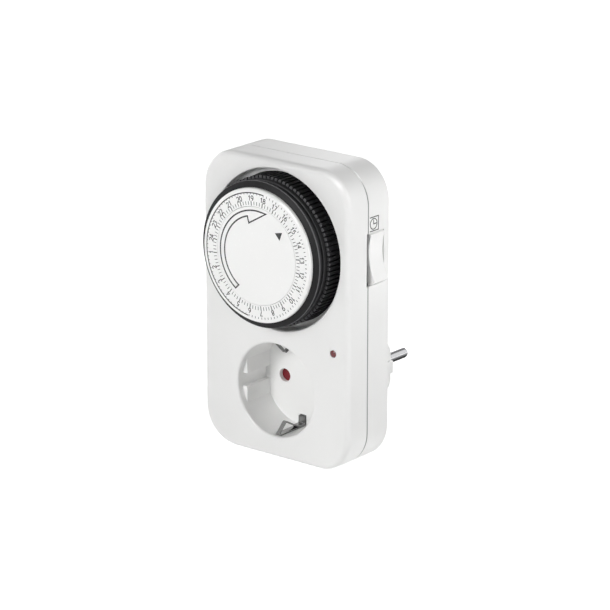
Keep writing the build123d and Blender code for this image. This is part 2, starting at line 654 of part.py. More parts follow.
# ---- dial ----
def dial_drum():
    """Black drum with a ribbed wall, an inner ring gear and a hub on the post."""
    plate_back = DISC_BACK + DRUM_PLATE
    drum = turned(
        [
            (POST_RADIUS + RUN, DISC_BACK),
            (DISC_RADIUS, DISC_BACK),
            (BEZEL_RADIUS, BEZEL_FRONT),
            (BEZEL_RADIUS, BEZEL_FRONT + BEZEL_LAND),
            (NECK_RADIUS, NECK_FRONT),
            (NECK_RADIUS, NECK_BACK),
            (DRUM_RADIUS, NECK_BACK),
            (DRUM_RADIUS, DRUM_END),
            (RING_ROOT, DRUM_END),
            (RING_ROOT, RING_START),
            (DRUM_INNER, RING_START),
            (DRUM_INNER, plate_back),
            (HUB_RADIUS, plate_back),
            (HUB_RADIUS, DRUM_END),
            (POST_RADIUS + RUN, DRUM_END),
        ],
        DIAL_RISE,
    )
    drum = fillet(rims(drum, BEZEL_RADIUS), BEZEL_ROUNDING)
    drum = fillet(rims(drum, DRUM_RADIUS)[0], DRUM_ROUNDING)
    space_root = RING_PITCH_RADIUS + RING_MODULE
    space = toothed(RING_TEETH, RING_PITCH_RADIUS - ADDENDUM * RING_MODULE, space_root,
                    SPACE_MOUTH_SHARE, SPACE_ROOT_SHARE, IDLER_ANGLE)
    ring = Circle(RING_ROOT + RING_RIM) - space
    drum += prism(Pos(0, DIAL_RISE) * ring, RING_START, RING_END)
    ribs = toothed(TABS, DRUM_RADIUS - RUN, DRUM_RADIUS + RIB_HEIGHT, RIB_SHARE, RIB_SHARE,
                   HOUR_ANGLE) - Circle(DRUM_RADIUS - FUSE)
    return drum + prism(Pos(0, DIAL_RISE) * ribs, TAB_FRONT + RIB_SETBACK, DRUM_END)


def scale_ring():
    """White ring that carries the hour numbers and turns with the drum."""
    inner = CENTRE_DISC_RADIUS + CENTRE_DISC_GAP
    ring = turned(
        [
            (inner, -DISC_PROUD),
            (DISC_RADIUS, -DISC_PROUD),
            (DISC_RADIUS, DISC_BACK),
            (inner, DISC_BACK),
        ],
        DIAL_RISE,
    )
    outer_edge = front_of(ring).edges().sort_by(lambda edge: edge.radius)[-1]
    return fillet(outer_edge, DISC_ROUNDING)


def centre_disc():
    """White disc with the direction arrow, held still by a stub in the post."""
    disc = rod(0, DIAL_RISE, CENTRE_DISC_RADIUS, -DISC_PROUD, POST_FRONT)
    return disc + rod(0, DIAL_RISE, CENTRE_STUB, POST_FRONT, POST_FRONT + CENTRE_STUB_LENGTH)


def tab(angle):
    """One quarter-hour tab: an outer plate with a foot behind the drum's wall."""
    root_half = TAB_ROOT_SHARE * TAB_PITCH / 2
    tip_half = TAB_TIP_SHARE * TAB_PITCH / 2
    plate = polygon([
        (TAB_INNER, angle - root_half),
        (TAB_OUTER, angle - tip_half),
        (TAB_OUTER, angle + tip_half),
        (TAB_INNER, angle + root_half),
    ])
    foot = polygon([
        (TAB_FOOT_INNER, angle - root_half),
        (TAB_INNER + SLIP, angle - root_half),
        (TAB_INNER + SLIP, angle + root_half),
        (TAB_FOOT_INNER, angle + root_half),
    ])
    body = prism(Pos(0, DIAL_RISE) * plate, TAB_FRONT, TAB_END)
    x, z = on_circle(TAB_OUTER, angle, 0, DIAL_RISE)
    outer_edge = front_of(body).edges().sort_by_distance((x, FRONT_Y + TAB_FRONT, z))[0]
    body = fillet(outer_edge, TAB_ROUNDING)
    return body + prism(Pos(0, DIAL_RISE) * foot, TAB_FOOT_START, TAB_END)


def tab_group(hour):
    """The four tabs of one hour."""
    first = HOUR_ANGLE + hour * 360 / HOURS + TAB_PITCH / 2
    return [tab(first + quarter * TAB_PITCH) for quarter in range(TABS_PER_HOUR)]


# ---- mechanism ----
def lever_bar(radius, half_length):
    """Round bar along Z through the follower's pivot."""
    centre = Pos(LEVER_REACH, FRONT_Y + LEVER_PIVOT_DEPTH, NOSE_RISE)
    return centre * Cylinder(radius, 2 * half_length)


def mechanism_plate():
    """Plate that carries the dial's post, the idler's bearing and the motor."""
    height = PLATE_TOP - PLATE_BOTTOM
    outline = RectangleRounded(2 * PLATE_HALF_WIDTH, height, PLATE_CORNER)
    plate = prism(Pos(0, PLATE_BOTTOM + height / 2) * outline, PLATE_DEPTH, PLATE_BACK)
    for x, z in SCREW_PLACES:
        plate -= rod(x, z, BOSS_RADIUS + GAP, PLATE_DEPTH - PAST, PLATE_BACK + PAST)
    plate += rod(0, DIAL_RISE, POST_RADIUS, POST_FRONT, PLATE_DEPTH)
    plate += rod(0, DIAL_RISE, HUB_RADIUS, DRUM_END + RUN, PLATE_DEPTH)
    bore_end = POST_FRONT + CENTRE_STUB_LENGTH + SLIP
    plate -= rod(0, DIAL_RISE, CENTRE_STUB, POST_FRONT - PAST, bore_end)
    bearing_front = RING_END + GAP
    plate += rod(*IDLER, IDLER_BOSS, bearing_front, PLATE_DEPTH)
    plate -= rod(*IDLER, IDLER_SHAFT + RUN, bearing_front - PAST, PLATE_BACK + PAST)

    window_half = NOSE_HALF + 2 * GAP
    nose_reach = LEVER_HALF_WIDTH + GAP
    plate -= block((-window_half, window_half), (NOSE_RISE - nose_reach, NOSE_RISE + nose_reach),
                   PLATE_DEPTH - PAST, PLATE_BACK + PAST)
    for side in (-1, 1):
        lug_start = NOSE_RISE + side * (LEVER_HALF_WIDTH + SLIP)
        lug_end = lug_start + side * LUG_THICKNESS
        plate += block((LEVER_REACH - LUG_HALF, LEVER_REACH + LUG_HALF), (lug_start, lug_end),
                       PLATE_BACK - FUSE, LEVER_PIVOT_DEPTH + LUG_HALF)
        cradle_start = NOSE_RISE + side * SNAP_HEIGHT / 2
        cradle_half = SNAP_WIDTH / 2 - PAST
        plate += block((SNAP_X - cradle_half, SNAP_X + cradle_half),
                       (cradle_start, cradle_start + side * SNAP_CRADLE),
                       PLATE_BACK - FUSE, (SNAP_START + SNAP_BACK) / 2)
    plate -= lever_bar(LEVER_PIN + RUN, LEVER_HALF_WIDTH + 2 * LUG_THICKNESS)
    for x, z in MOTOR_EARS:
        plate += rod(x, z, MOTOR_EAR_RADIUS, PLATE_BACK - FUSE, MOTOR_FRONT)
        plate -= rod(x, z, SMALL_HOLE, PLATE_DEPTH - PAST, MOTOR_FRONT + PAST)
    for x, z in PILLARS:
        plate -= rod(x, z, SMALL_HOLE, PLATE_DEPTH - PAST, PLATE_BACK + PAST)
    return plate


def follower_lever():
    """Lever whose nose feels the tabs' feet and whose arm works the snap switch."""
    heights = (NOSE_RISE - LEVER_HALF_WIDTH, NOSE_RISE + LEVER_HALF_WIDTH)
    lever = block((-NOSE_HALF, LEVER_REACH), heights, LEVER_START, LEVER_BACK)
    tip = FRONT_Y + TAB_END + NOSE_GAP
    root = FRONT_Y + LEVER_START + SLIP
    face = make_face(Polyline(
        (-NOSE_HALF, root, NOSE_RISE),
        (-NOSE_TIP_HALF, tip, NOSE_RISE),
        (NOSE_TIP_HALF, tip, NOSE_RISE),
        (NOSE_HALF, root, NOSE_RISE),
        close=True,
    ))
    lever += extrude(face, amount=NOSE_DEEP, both=True)
    lever += lever_bar(LEVER_BOSS, LEVER_HALF_WIDTH)
    return lever + lever_bar(LEVER_PIN, LEVER_HALF_WIDTH + SLIP + LUG_THICKNESS)


def idler_gear():
    """Pinion in the drum's ring gear and wheel behind the plate, on one shaft."""
    pinion = Pos(*IDLER) * gear_outline(PINION_TEETH, RING_MODULE, IDLER_ANGLE)
    wheel = Pos(*IDLER) * gear_outline(WHEEL_TEETH, WHEEL_MODULE, MOTOR_LEAN)
    gear = prism(pinion, RING_START + GAP, RING_END)
    gear += prism(wheel, WHEEL_START, WHEEL_END)
    return gear + rod(*IDLER, IDLER_SHAFT, RING_START, WHEEL_END)


def motor_pinion():
    """Output pinion of the motor's gearbox on its shaft."""
    phase = MOTOR_LEAN + 180 + 180 / PINION_TEETH
    outline = Pos(*OUTPUT) * gear_outline(PINION_TEETH, WHEEL_MODULE, phase)
    pinion = prism(outline, WHEEL_START, WHEEL_END)
    return pinion + rod(*OUTPUT, MOTOR_SHAFT, WHEEL_START, MOTOR_FRONT + MOTOR_SHAFT_SUNK)


def motor():
    """Flat round synchronous motor with two fixing ears."""
    can = rod(*MOTOR, MOTOR_RADIUS, MOTOR_FRONT, MOTOR_BACK)
    can = fillet(back_of(can).edges(), MOTOR_ROUNDING)
    for x, z in MOTOR_EARS:
        widths = (x, MOTOR[0])
        heights = (z - MOTOR_EAR_RADIUS, z + MOTOR_EAR_RADIUS)
        can += block(widths, heights, MOTOR_FRONT, MOTOR_EAR_BACK)
        can += rod(x, z, MOTOR_EAR_RADIUS, MOTOR_FRONT, MOTOR_EAR_BACK)
        can -= rod(x, z, SMALL_HOLE, MOTOR_FRONT - PAST, MOTOR_EAR_BACK + PAST)
    bore_end = MOTOR_FRONT + MOTOR_SHAFT_SUNK + GAP
    return can - rod(*OUTPUT, MOTOR_SHAFT + RUN, MOTOR_FRONT - PAST, bore_end)


def small_screws(places, seat, length):
    """Pan-head screws driven in from the wall side."""
    screws = []
    for x, z in places:
        head = rod(x, z, SMALL_SCREW_HEAD, seat, seat + SMALL_SCREW_HEAD_HEIGHT)
        head = fillet(back_of(head).edges(), SMALL_SCREW_HEAD_HEIGHT / 2)
        screws.append(head + rod(x, z, SMALL_SCREW, seat - length, seat))
    return screws


def snap_switch():
    """Snap-action switch body behind the follower."""
    body = block((SNAP_X - SNAP_WIDTH / 2, SNAP_X + SNAP_WIDTH / 2),
                 (NOSE_RISE - SNAP_HEIGHT / 2, NOSE_RISE + SNAP_HEIGHT / 2),
                 SNAP_START, SNAP_BACK)
    bore_end = SNAP_START + SNAP_BUTTON_SUNK + SNAP_BUTTON_TRAVEL + GAP
    return body - rod(SNAP_X, NOSE_RISE, SNAP_BUTTON + RUN, SNAP_START - PAST, bore_end)


def snap_button():
    """Round button of the snap switch."""
    front = SNAP_START - SNAP_BUTTON_PROUD
    return rod(SNAP_X, NOSE_RISE, SNAP_BUTTON, front, SNAP_START + SNAP_BUTTON_SUNK)


# ---- rocker ----
def rocker_button():
    """Concave rocker, resting with its upper end pressed in."""
    thickness = ROCKER_FACE - ROCKER_CAP_FLOOR
    cap = Pos(ROCKER_CAP_FLOOR + thickness / 2) * Rectangle(thickness, 2 * ROCKER_SWEEP)
    face_radius = (ROCKER_HALF_HEIGHT**2 + ROCKER_SAG**2) / (2 * ROCKER_SAG)
    hollow = Pos(ROCKER_FACE - ROCKER_SAG + face_radius) * Circle(face_radius)
    outline = (cap & Circle(ROCKER_SWEEP)) - hollow
    button = prism(Pos(ROCKER_PIVOT_X, ROCKER_RISE) * outline, ROCKER_START,
                   ROCKER_START + ROCKER_WIDTH)
    crowns = button.edges().filter_by(Axis.Y).sort_by(Axis.X)[-2:]
    button = fillet(crowns, ROCKER_ROUNDING)
    hollow_edges = button.edges().filter_by(GeomType.CIRCLE)
    hollow_edges = hollow_edges.filter_by(lambda edge: abs(edge.radius - face_radius) < RUN)
    button = fillet(hollow_edges, ROCKER_EDGE)
    web_start = ROCKER_MIDDLE - ROCKER_WEB_HALF
    web_end = ROCKER_MIDDLE + ROCKER_WEB_HALF
    button += block((ROCKER_PIVOT_X - ROCKER_CAP_FLOOR, ROCKER_PIVOT_X + ROCKER_CAP_FLOOR + FUSE),
                    (ROCKER_RISE - ROCKER_WEB_HEIGHT, ROCKER_RISE + ROCKER_WEB_HEIGHT),
                    web_start, web_end)
    reach = SLIP + EAR_THICKNESS
    button += rod(ROCKER_PIVOT_X, ROCKER_RISE, ROCKER_PIN, web_start - reach, web_end + reach)
    return button.rotate(Axis((ROCKER_PIVOT_X, 0, ROCKER_RISE), (0, 1, 0)), -ROCKER_TILT)


def rocker_switch():
    """Switch body behind the rocker, with ears for its pivot and legs to the side wall."""
    back = ROCKER_PIVOT_X - SWITCH_INSET
    inner = ROCKER_WEB_HALF + SLIP
    outer = inner + EAR_THICKNESS
    tall = ROCKER_SWEEP + 2 * GAP
    body = block((back - SWITCH_LENGTH, back), (ROCKER_RISE - tall, ROCKER_RISE + tall),
                 ROCKER_MIDDLE - outer, ROCKER_MIDDLE + outer)
    for side in (-1, 1):
        ear = sorted((ROCKER_MIDDLE + side * inner, ROCKER_MIDDLE + side * outer))
        body += block((back - FUSE, ROCKER_PIVOT_X + ROCKER_PIN + EAR_CROWN),
                      (ROCKER_RISE - EAR_HALF, ROCKER_RISE + EAR_HALF), *ear)
        leg = ROCKER_RISE + side * (ROCKER_SWEEP + GAP)
        body += block((back - SWITCH_LENGTH, HALF_WIDTH - WALL), (leg, leg + side * WALL / 2),
                      ROCKER_MIDDLE - outer, ROCKER_MIDDLE + outer)
    return body - rod(ROCKER_PIVOT_X, ROCKER_RISE, ROCKER_PIN + RUN,
                      ROCKER_MIDDLE - outer - PAST, ROCKER_MIDDLE + outer + PAST)


# ---- writing ----
def write(name, shape):
    """Write one node, whose shape may be a list of equal pieces."""
    pieces = shape if isinstance(shape, list) else [shape]
    solids = [solid for piece in pieces for solid in piece.solids()]
    whole = solids[0] if len(solids) == 1 else Compound(children=solids)
    export_step(whole, f"parts/{name}.step")


os.makedirs("parts", exist_ok=True)
write("front_shell", front_shell())
write("back_shell", back_shell())
write("housing_screws", housing_screws())
write("plug_base", plug_base())
write("plug_body", plug_body())
write("plug_pin_left", plug_pin(-1))
write("plug_pin_right", plug_pin(1))
write("earth_band", earth_band())
write("earth_clip", earth_clip())
write("contact_carrier", contact_carrier())
write("shutter", shutter())
write("contact_sleeve_left", contact_sleeve(-1))
write("contact_sleeve_right", contact_sleeve(1))
write("indicator_lens", indicator_lens())
write("indicator_lamp", indicator_lamp())
write("dial_drum", dial_drum())
write("scale_ring", scale_ring())
write("centre_disc", centre_disc())
write("mechanism_plate", mechanism_plate())
write("plate_screws", small_screws(PILLARS, PLATE_BACK, PLATE_SCREW_LENGTH))
write("idler_gear", idler_gear())
write("motor", motor())
write("motor_screws", small_screws(MOTOR_EARS, MOTOR_EAR_BACK, MOTOR_SCREW_LENGTH))
write("motor_pinion", motor_pinion())
write("follower_lever", follower_lever())
write("snap_switch", snap_switch())
write("snap_button", snap_button())
write("rocker_button", rocker_button())
write("rocker_switch", rocker_switch())
for hour in range(HOURS):
    write(f"tabs_hour_{hour:02d}", tab_group(hour))
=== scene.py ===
"""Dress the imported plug-in timer switch and set it in a plain, pale studio.

Lengths in this file are millimetres in the part's own frame: X to the right, Z up and
Y out of the timer's back into the wall. Only the last step before Blender turns them
into metres. Angles are degrees, and an angle on the dial turns from +X towards +Z.
"""

import logging
import math
from collections.abc import Iterable, Sequence
from dataclasses import dataclass, field, replace
from enum import Enum
from functools import partial

import bmesh
import bpy
import numpy as np
from bpy.types import ID, Material, NodeOutputs, NodeSocket, NodeTree, Object
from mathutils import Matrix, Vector


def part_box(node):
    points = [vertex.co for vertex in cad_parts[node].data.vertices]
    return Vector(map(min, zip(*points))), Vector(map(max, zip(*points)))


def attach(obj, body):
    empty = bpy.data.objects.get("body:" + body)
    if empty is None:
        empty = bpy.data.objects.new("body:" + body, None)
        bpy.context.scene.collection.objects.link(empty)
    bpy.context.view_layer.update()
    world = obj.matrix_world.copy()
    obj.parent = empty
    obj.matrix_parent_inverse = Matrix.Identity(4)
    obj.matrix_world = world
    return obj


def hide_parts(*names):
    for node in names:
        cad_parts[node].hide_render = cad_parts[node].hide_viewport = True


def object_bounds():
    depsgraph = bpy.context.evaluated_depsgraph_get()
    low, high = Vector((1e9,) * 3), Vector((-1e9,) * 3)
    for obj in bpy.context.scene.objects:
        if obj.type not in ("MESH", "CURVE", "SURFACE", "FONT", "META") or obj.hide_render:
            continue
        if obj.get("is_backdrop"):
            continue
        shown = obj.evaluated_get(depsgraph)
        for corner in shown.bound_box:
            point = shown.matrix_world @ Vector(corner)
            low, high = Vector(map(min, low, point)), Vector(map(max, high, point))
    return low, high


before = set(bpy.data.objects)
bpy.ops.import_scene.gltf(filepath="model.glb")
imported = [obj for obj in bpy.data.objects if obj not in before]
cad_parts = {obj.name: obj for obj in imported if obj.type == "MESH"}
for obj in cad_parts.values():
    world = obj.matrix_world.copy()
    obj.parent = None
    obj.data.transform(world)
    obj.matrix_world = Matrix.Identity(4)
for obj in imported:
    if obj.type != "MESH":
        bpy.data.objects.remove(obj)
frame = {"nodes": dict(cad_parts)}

METRE = 0.001  # one millimetre in Blender's metres
FACE_Y = -54.5  # the housing's front face; depths are measured from it towards the wall
MERGE = 1e-4  # points nearer than this are one point
SHARP = 35.0  # edges that turn by more than this stay crisp
MITRE_LIMIT = 0.4  # a mitre grows to at most one over this of the width
INK = 0.03  # how far printing stands over its surface
SUNK = 0.02  # how far it reaches into its surface, so that no gap shows
WHITE = (1.0, 1.0, 1.0, 1.0)
CORNERS = np.array([(-1, -1), (1, -1), (1, 1), (-1, 1)])  # a square of side two
GRAIN_DETAIL = 3.0  # finer layers of the relief
GRAIN_ROUGHNESS = 0.6  # how much the finer layers count
DRIFT_DETAIL = 2.0  # finer layers of the colour's drift
MIX_FACTOR, MIX_FIRST, MIX_SECOND, MIX_RESULT = 0, 6, 7, 2  # the colour mix's sockets

log = logging.getLogger("timer")
Array = np.ndarray
Pair = tuple[float, float]
Triple = tuple[float, float, float]
Values = dict[str | int, object]  # constants by the name or number of their input


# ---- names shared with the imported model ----
class Body(Enum):
    """Moving bodies that the pieces of this file ride on."""

    HOUSING = "housing"
    DIAL = "dial"


class Slot(Enum):
    """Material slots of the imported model's record."""

    HOUSING = "housing_plastic"
    DIAL = "dial_white"
    DRUM = "drum_black"
    TAB = "tab_black"
    PIN = "pin_plating"
    EARTH = "earth_metal"
    BRASS = "contact_brass"
    SHUTTER = "shutter_red"
    LENS = "lens_red"
    LAMP = "lamp_glass"
    MECHANISM = "mechanism_grey"
    GEAR = "gear_natural"
    MOTOR = "motor_can"
    SWITCH = "switch_black"
    SCREW = "screw_steel"


# ---- finishes ----
def linear(colour: str) -> tuple[float, float, float, float]:
    """Turn an sRGB hex colour into linear light.

    A share s becomes s / 12.92 up to 0.04045, and ((s + 0.055) / 1.055) ^ 2.4 above it.

    Args:
        colour: six hex digits after a hash sign.

    Returns:
        Red, green, blue and an alpha of one.
    """
    shares = np.array([int(colour[at:at + 2], 16) for at in (1, 3, 5)]) / 255
    light = np.where(shares <= 0.04045, shares / 12.92, ((shares + 0.055) / 1.055) ** 2.4)
    return (*light.tolist(), 1.0)


def add_node(
    tree: NodeTree,
    kind: str,
    values: Values | None = None,
    links: dict[str | int, NodeSocket] | None = None,
    **settings: object,
) -> NodeOutputs:
    """Add one shader node.

    Args:
        tree: tree that receives the node.
        kind: Blender's name of the node type.
        values: constants by the name or number of their input.
        links: sockets that feed an input, by its name or number.
        settings: the node's own options.

    Returns:
        The new node's outputs.
    """
    node = tree.nodes.new(kind)
    for option, choice in settings.items():
        setattr(node, option, choice)
    for socket, value in (values or {}).items():
        node.inputs[socket].default_value = value
    for socket, source in (links or {}).items():
        tree.links.new(source, node.inputs[socket])
    return node.outputs


def empty_material(name: str) -> Material:
    """Make a material whose node tree is empty.

    Args:
        name: its name.

    Returns:
        The material.
    """
    material = bpy.data.materials.new(name)
    material.use_nodes = True
    material.node_tree.nodes.clear()
    return material


def axis_distance(tree: NodeTree, place: NodeSocket) -> NodeSocket:
    """Work out the distance from the Y axis, the length of (x, z).

    Args:
        tree: the material's nodes.
        place: coordinates x, y and z.

    Returns:
        The distance.
    """
    add = partial(add_node, tree)
    flat = add("ShaderNodeVectorMath", {1: (1.0, 0.0, 1.0)}, {0: place}, operation="MULTIPLY")
    length = add("ShaderNodeVectorMath", links={0: flat["Vector"]}, operation="LENGTH")
    return length["Value"]


@dataclass(frozen=True)
class Mark:
    """A line at one depth: dust and painted shade in a joint, painted light over a band in shade, or
    a painted highlight along an edge.

    Attributes:
        depth: depth of its middle from the housing's face.
        half: half its width.
        colour: its colour, sRGB hex.
        cover: how much of the surface's own colour it hides.
        beyond: distance from the plug's axis within which it does not lie.
        fade: height at which light starts to fill it.
    """

    depth: float
    half: float
    colour: str
    cover: float
    beyond: float = 0.0
    fade: float = 200.0


FADE_LENGTH = 6.0  # height over which light fills a mark
FADE_REST = 0.12  # share of a mark that stays where light fills it


@dataclass(frozen=True)
class Finish:
    """A surface whose colour, gloss and relief drift as the real one's do.

    Attributes:
        name: the material's name.
        colour: its main colour, sRGB hex.
        drift: the colour it drifts towards, sRGB hex.
        drift_mm: size of the patches of that drift.
        gloss: roughness where it is smoothest and where it is dullest.
        relief: spacing and height of its relief, in millimetres.
        ior: index of refraction; metals keep the shader's own.
        shine: strength of the reflection straight on; a half is the plain amount.
        metal: whether it is a metal.
        marks: lines at set depths: dust, painted shade, painted light and painted highlights.
    """

    name: str
    colour: str
    drift: str
    drift_mm: float
    gloss: Pair
    relief: Pair
    ior: float = 1.5
    shine: float = 0.5
    metal: bool = False
    marks: tuple[Mark, ...] = ()

    def marked(self, tree: NodeTree, place: NodeSocket, tint: NodeSocket) -> NodeSocket:
        """Lay the marks, which are dust and painted light and shade, over the colour.

        A mark covers the points whose depth is within half its width of its middle and
        whose distance from the plug's axis is large enough. Its cover falls to FADE_REST
        of itself over FADE_LENGTH above its fade height.

        Args:
            tree: the material's nodes.
            place: the surface's own coordinates.
            tint: the colour under the marks.

        Returns:
            The colour with the marks.
        """
        if not self.marks:
            return tint
        add = partial(add_node, tree)
        parts = add("ShaderNodeSeparateXYZ", links={0: place})
        reach = axis_distance(tree, place)
        for mark in self.marks:
            middle = (FACE_Y + mark.depth) * METRE
            band = add(
                "ShaderNodeMath",
                {1: middle, 2: mark.half * METRE},
                {0: parts["Y"]},
                operation="COMPARE",
            )
            outside = add(
                "ShaderNodeMath", {1: mark.beyond * METRE}, {0: reach}, operation="GREATER_THAN"
            )
            limits = {
                "From Min": mark.fade * METRE,
                "From Max": (mark.fade + FADE_LENGTH) * METRE,
                "To Min": mark.cover,
                "To Max": mark.cover * FADE_REST,
            }
            share = add("ShaderNodeMapRange", limits, {"Value": parts["Z"]})[0]
            for test in (band, outside):
                share = add(
                    "ShaderNodeMath", links={0: share, 1: test[0]}, operation="MULTIPLY"
                )[0]
            tint = add(
                "ShaderNodeMix",
                {MIX_SECOND: linear(mark.colour)},
                {MIX_FACTOR: share, MIX_FIRST: tint},
                data_type="RGBA",
            )[MIX_RESULT]
        return tint

    def constants(self) -> Values:
        """Return the shader's values that are the same all over the surface."""
        if self.metal:
            return {"Metallic": 1.0}
        return {"IOR": self.ior, "Specular IOR Level": self.shine}

    def place(self, tree: NodeTree) -> NodeSocket:
        """Return the coordinates that the relief reads."""
        return add_node(tree, "ShaderNodeTexCoord")["Object"]

    def grain(self, tree: NodeTree) -> NodeSocket:
        """Add the noise that the relief follows.

        Args:
            tree: the material's nodes.

        Returns:
            The relief's height, from zero to one.
        """
        spacing, _ = self.relief
        scale = 1 / (spacing * METRE)
        noise = add_node(
            tree,
            "ShaderNodeTexNoise",
            {"Scale": scale, "Detail": GRAIN_DETAIL, "Roughness": GRAIN_ROUGHNESS},
            {"Vector": self.place(tree)},
        )
        return noise["Fac"]

    def material(self) -> Material:
        """Make the material, or return it if it has been made.

        The colour is a blend of the two tones by a soft noise of the drift's size, the
        roughness follows the relief between its two ends, and a bump lifts the relief.

        Returns:
            The material.
        """
        made = bpy.data.materials.get(self.name)
        if made is not None:
            return made
        material = empty_material(self.name)
        material.diffuse_color = linear(self.colour)
        tree = material.node_tree
        add = partial(add_node, tree)
        place = add("ShaderNodeTexCoord")["Object"]
        cloud = add(
            "ShaderNodeTexNoise",
            {"Scale": 1 / (self.drift_mm * METRE), "Detail": DRIFT_DETAIL},
            {"Vector": place},
        )
        tint = add(
            "ShaderNodeMix",
            {MIX_FIRST: linear(self.colour), MIX_SECOND: linear(self.drift)},
            {MIX_FACTOR: cloud["Fac"]},
            data_type="RGBA",
        )
        smoothest, dullest = self.gloss
        _, rise = self.relief
        grain = self.grain(tree)
        dullness = add(
            "ShaderNodeMapRange", {"To Min": smoothest, "To Max": dullest}, {"Value": grain}
        )
        bump = add("ShaderNodeBump", {"Strength": 1.0, "Distance": rise * METRE}, {"Height": grain})
        shader = add(
            "ShaderNodeBsdfPrincipled",
            self.constants(),
            {
                "Base Color": self.marked(tree, place, tint[MIX_RESULT]),
                "Roughness": dullness["Result"],
                "Normal": bump["Normal"],
            },
        )
        add("ShaderNodeOutputMaterial", links={"Surface": shader["BSDF"]})
        return material


@dataclass(frozen=True)
class TurnedFinish(Finish):
    """A surface with fine rings round the dial's axis, as a turned mould leaves them.

    Attributes:
        rise_mm: height of the axis above the origin.
    """

    rise_mm: float = 59.0

    def place(self, tree: NodeTree) -> NodeSocket:
        """Turn the coordinates into the radius and the depth.

        Args:
            tree: the material's nodes.

        Returns:
            Coordinates (radius, depth, 0).
        """
        add = partial(add_node, tree)
        drop = (0.0, 0.0, -self.rise_mm * METRE)
        centred = add("ShaderNodeMapping", {"Location": drop}, {"Vector": super().place(tree)})
        radius = axis_distance(tree, centred["Vector"])
        depth = add("ShaderNodeSeparateXYZ", links={0: centred["Vector"]})
        rings = add("ShaderNodeCombineXYZ", links={"X": radius, "Y": depth["Y"]})
        return rings["Vector"]


@dataclass(frozen=True)
class RolledFinish(Finish):
    """Strip or wire metal whose fine lines run along one direction.

    Attributes:
        stretch: how much longer the lines are than they are wide, along X, Y and Z.
    """

    stretch: Triple = (1.0, 12.0, 12.0)

    def place(self, tree: NodeTree) -> NodeSocket:
        """Squeeze the coordinates along the lines.

        Args:
            tree: the material's nodes.

        Returns:
            Each coordinate divided by its stretch.
        """
        squeeze = tuple(1 / length for length in self.stretch)
        mapping = add_node(
            tree, "ShaderNodeMapping", {"Scale": squeeze}, {"Vector": super().place(tree)}
        )
        return mapping["Vector"]


@dataclass(frozen=True)
class ClearFinish(Finish):
    """A tinted see-through plastic or glass.

    Attributes:
        clarity: share of the light that passes through.
    """

    clarity: float = 0.5

    def constants(self) -> Values:
        """Return the same values for a surface that lets light through."""
        return {"IOR": self.ior, "Transmission Weight": self.clarity}


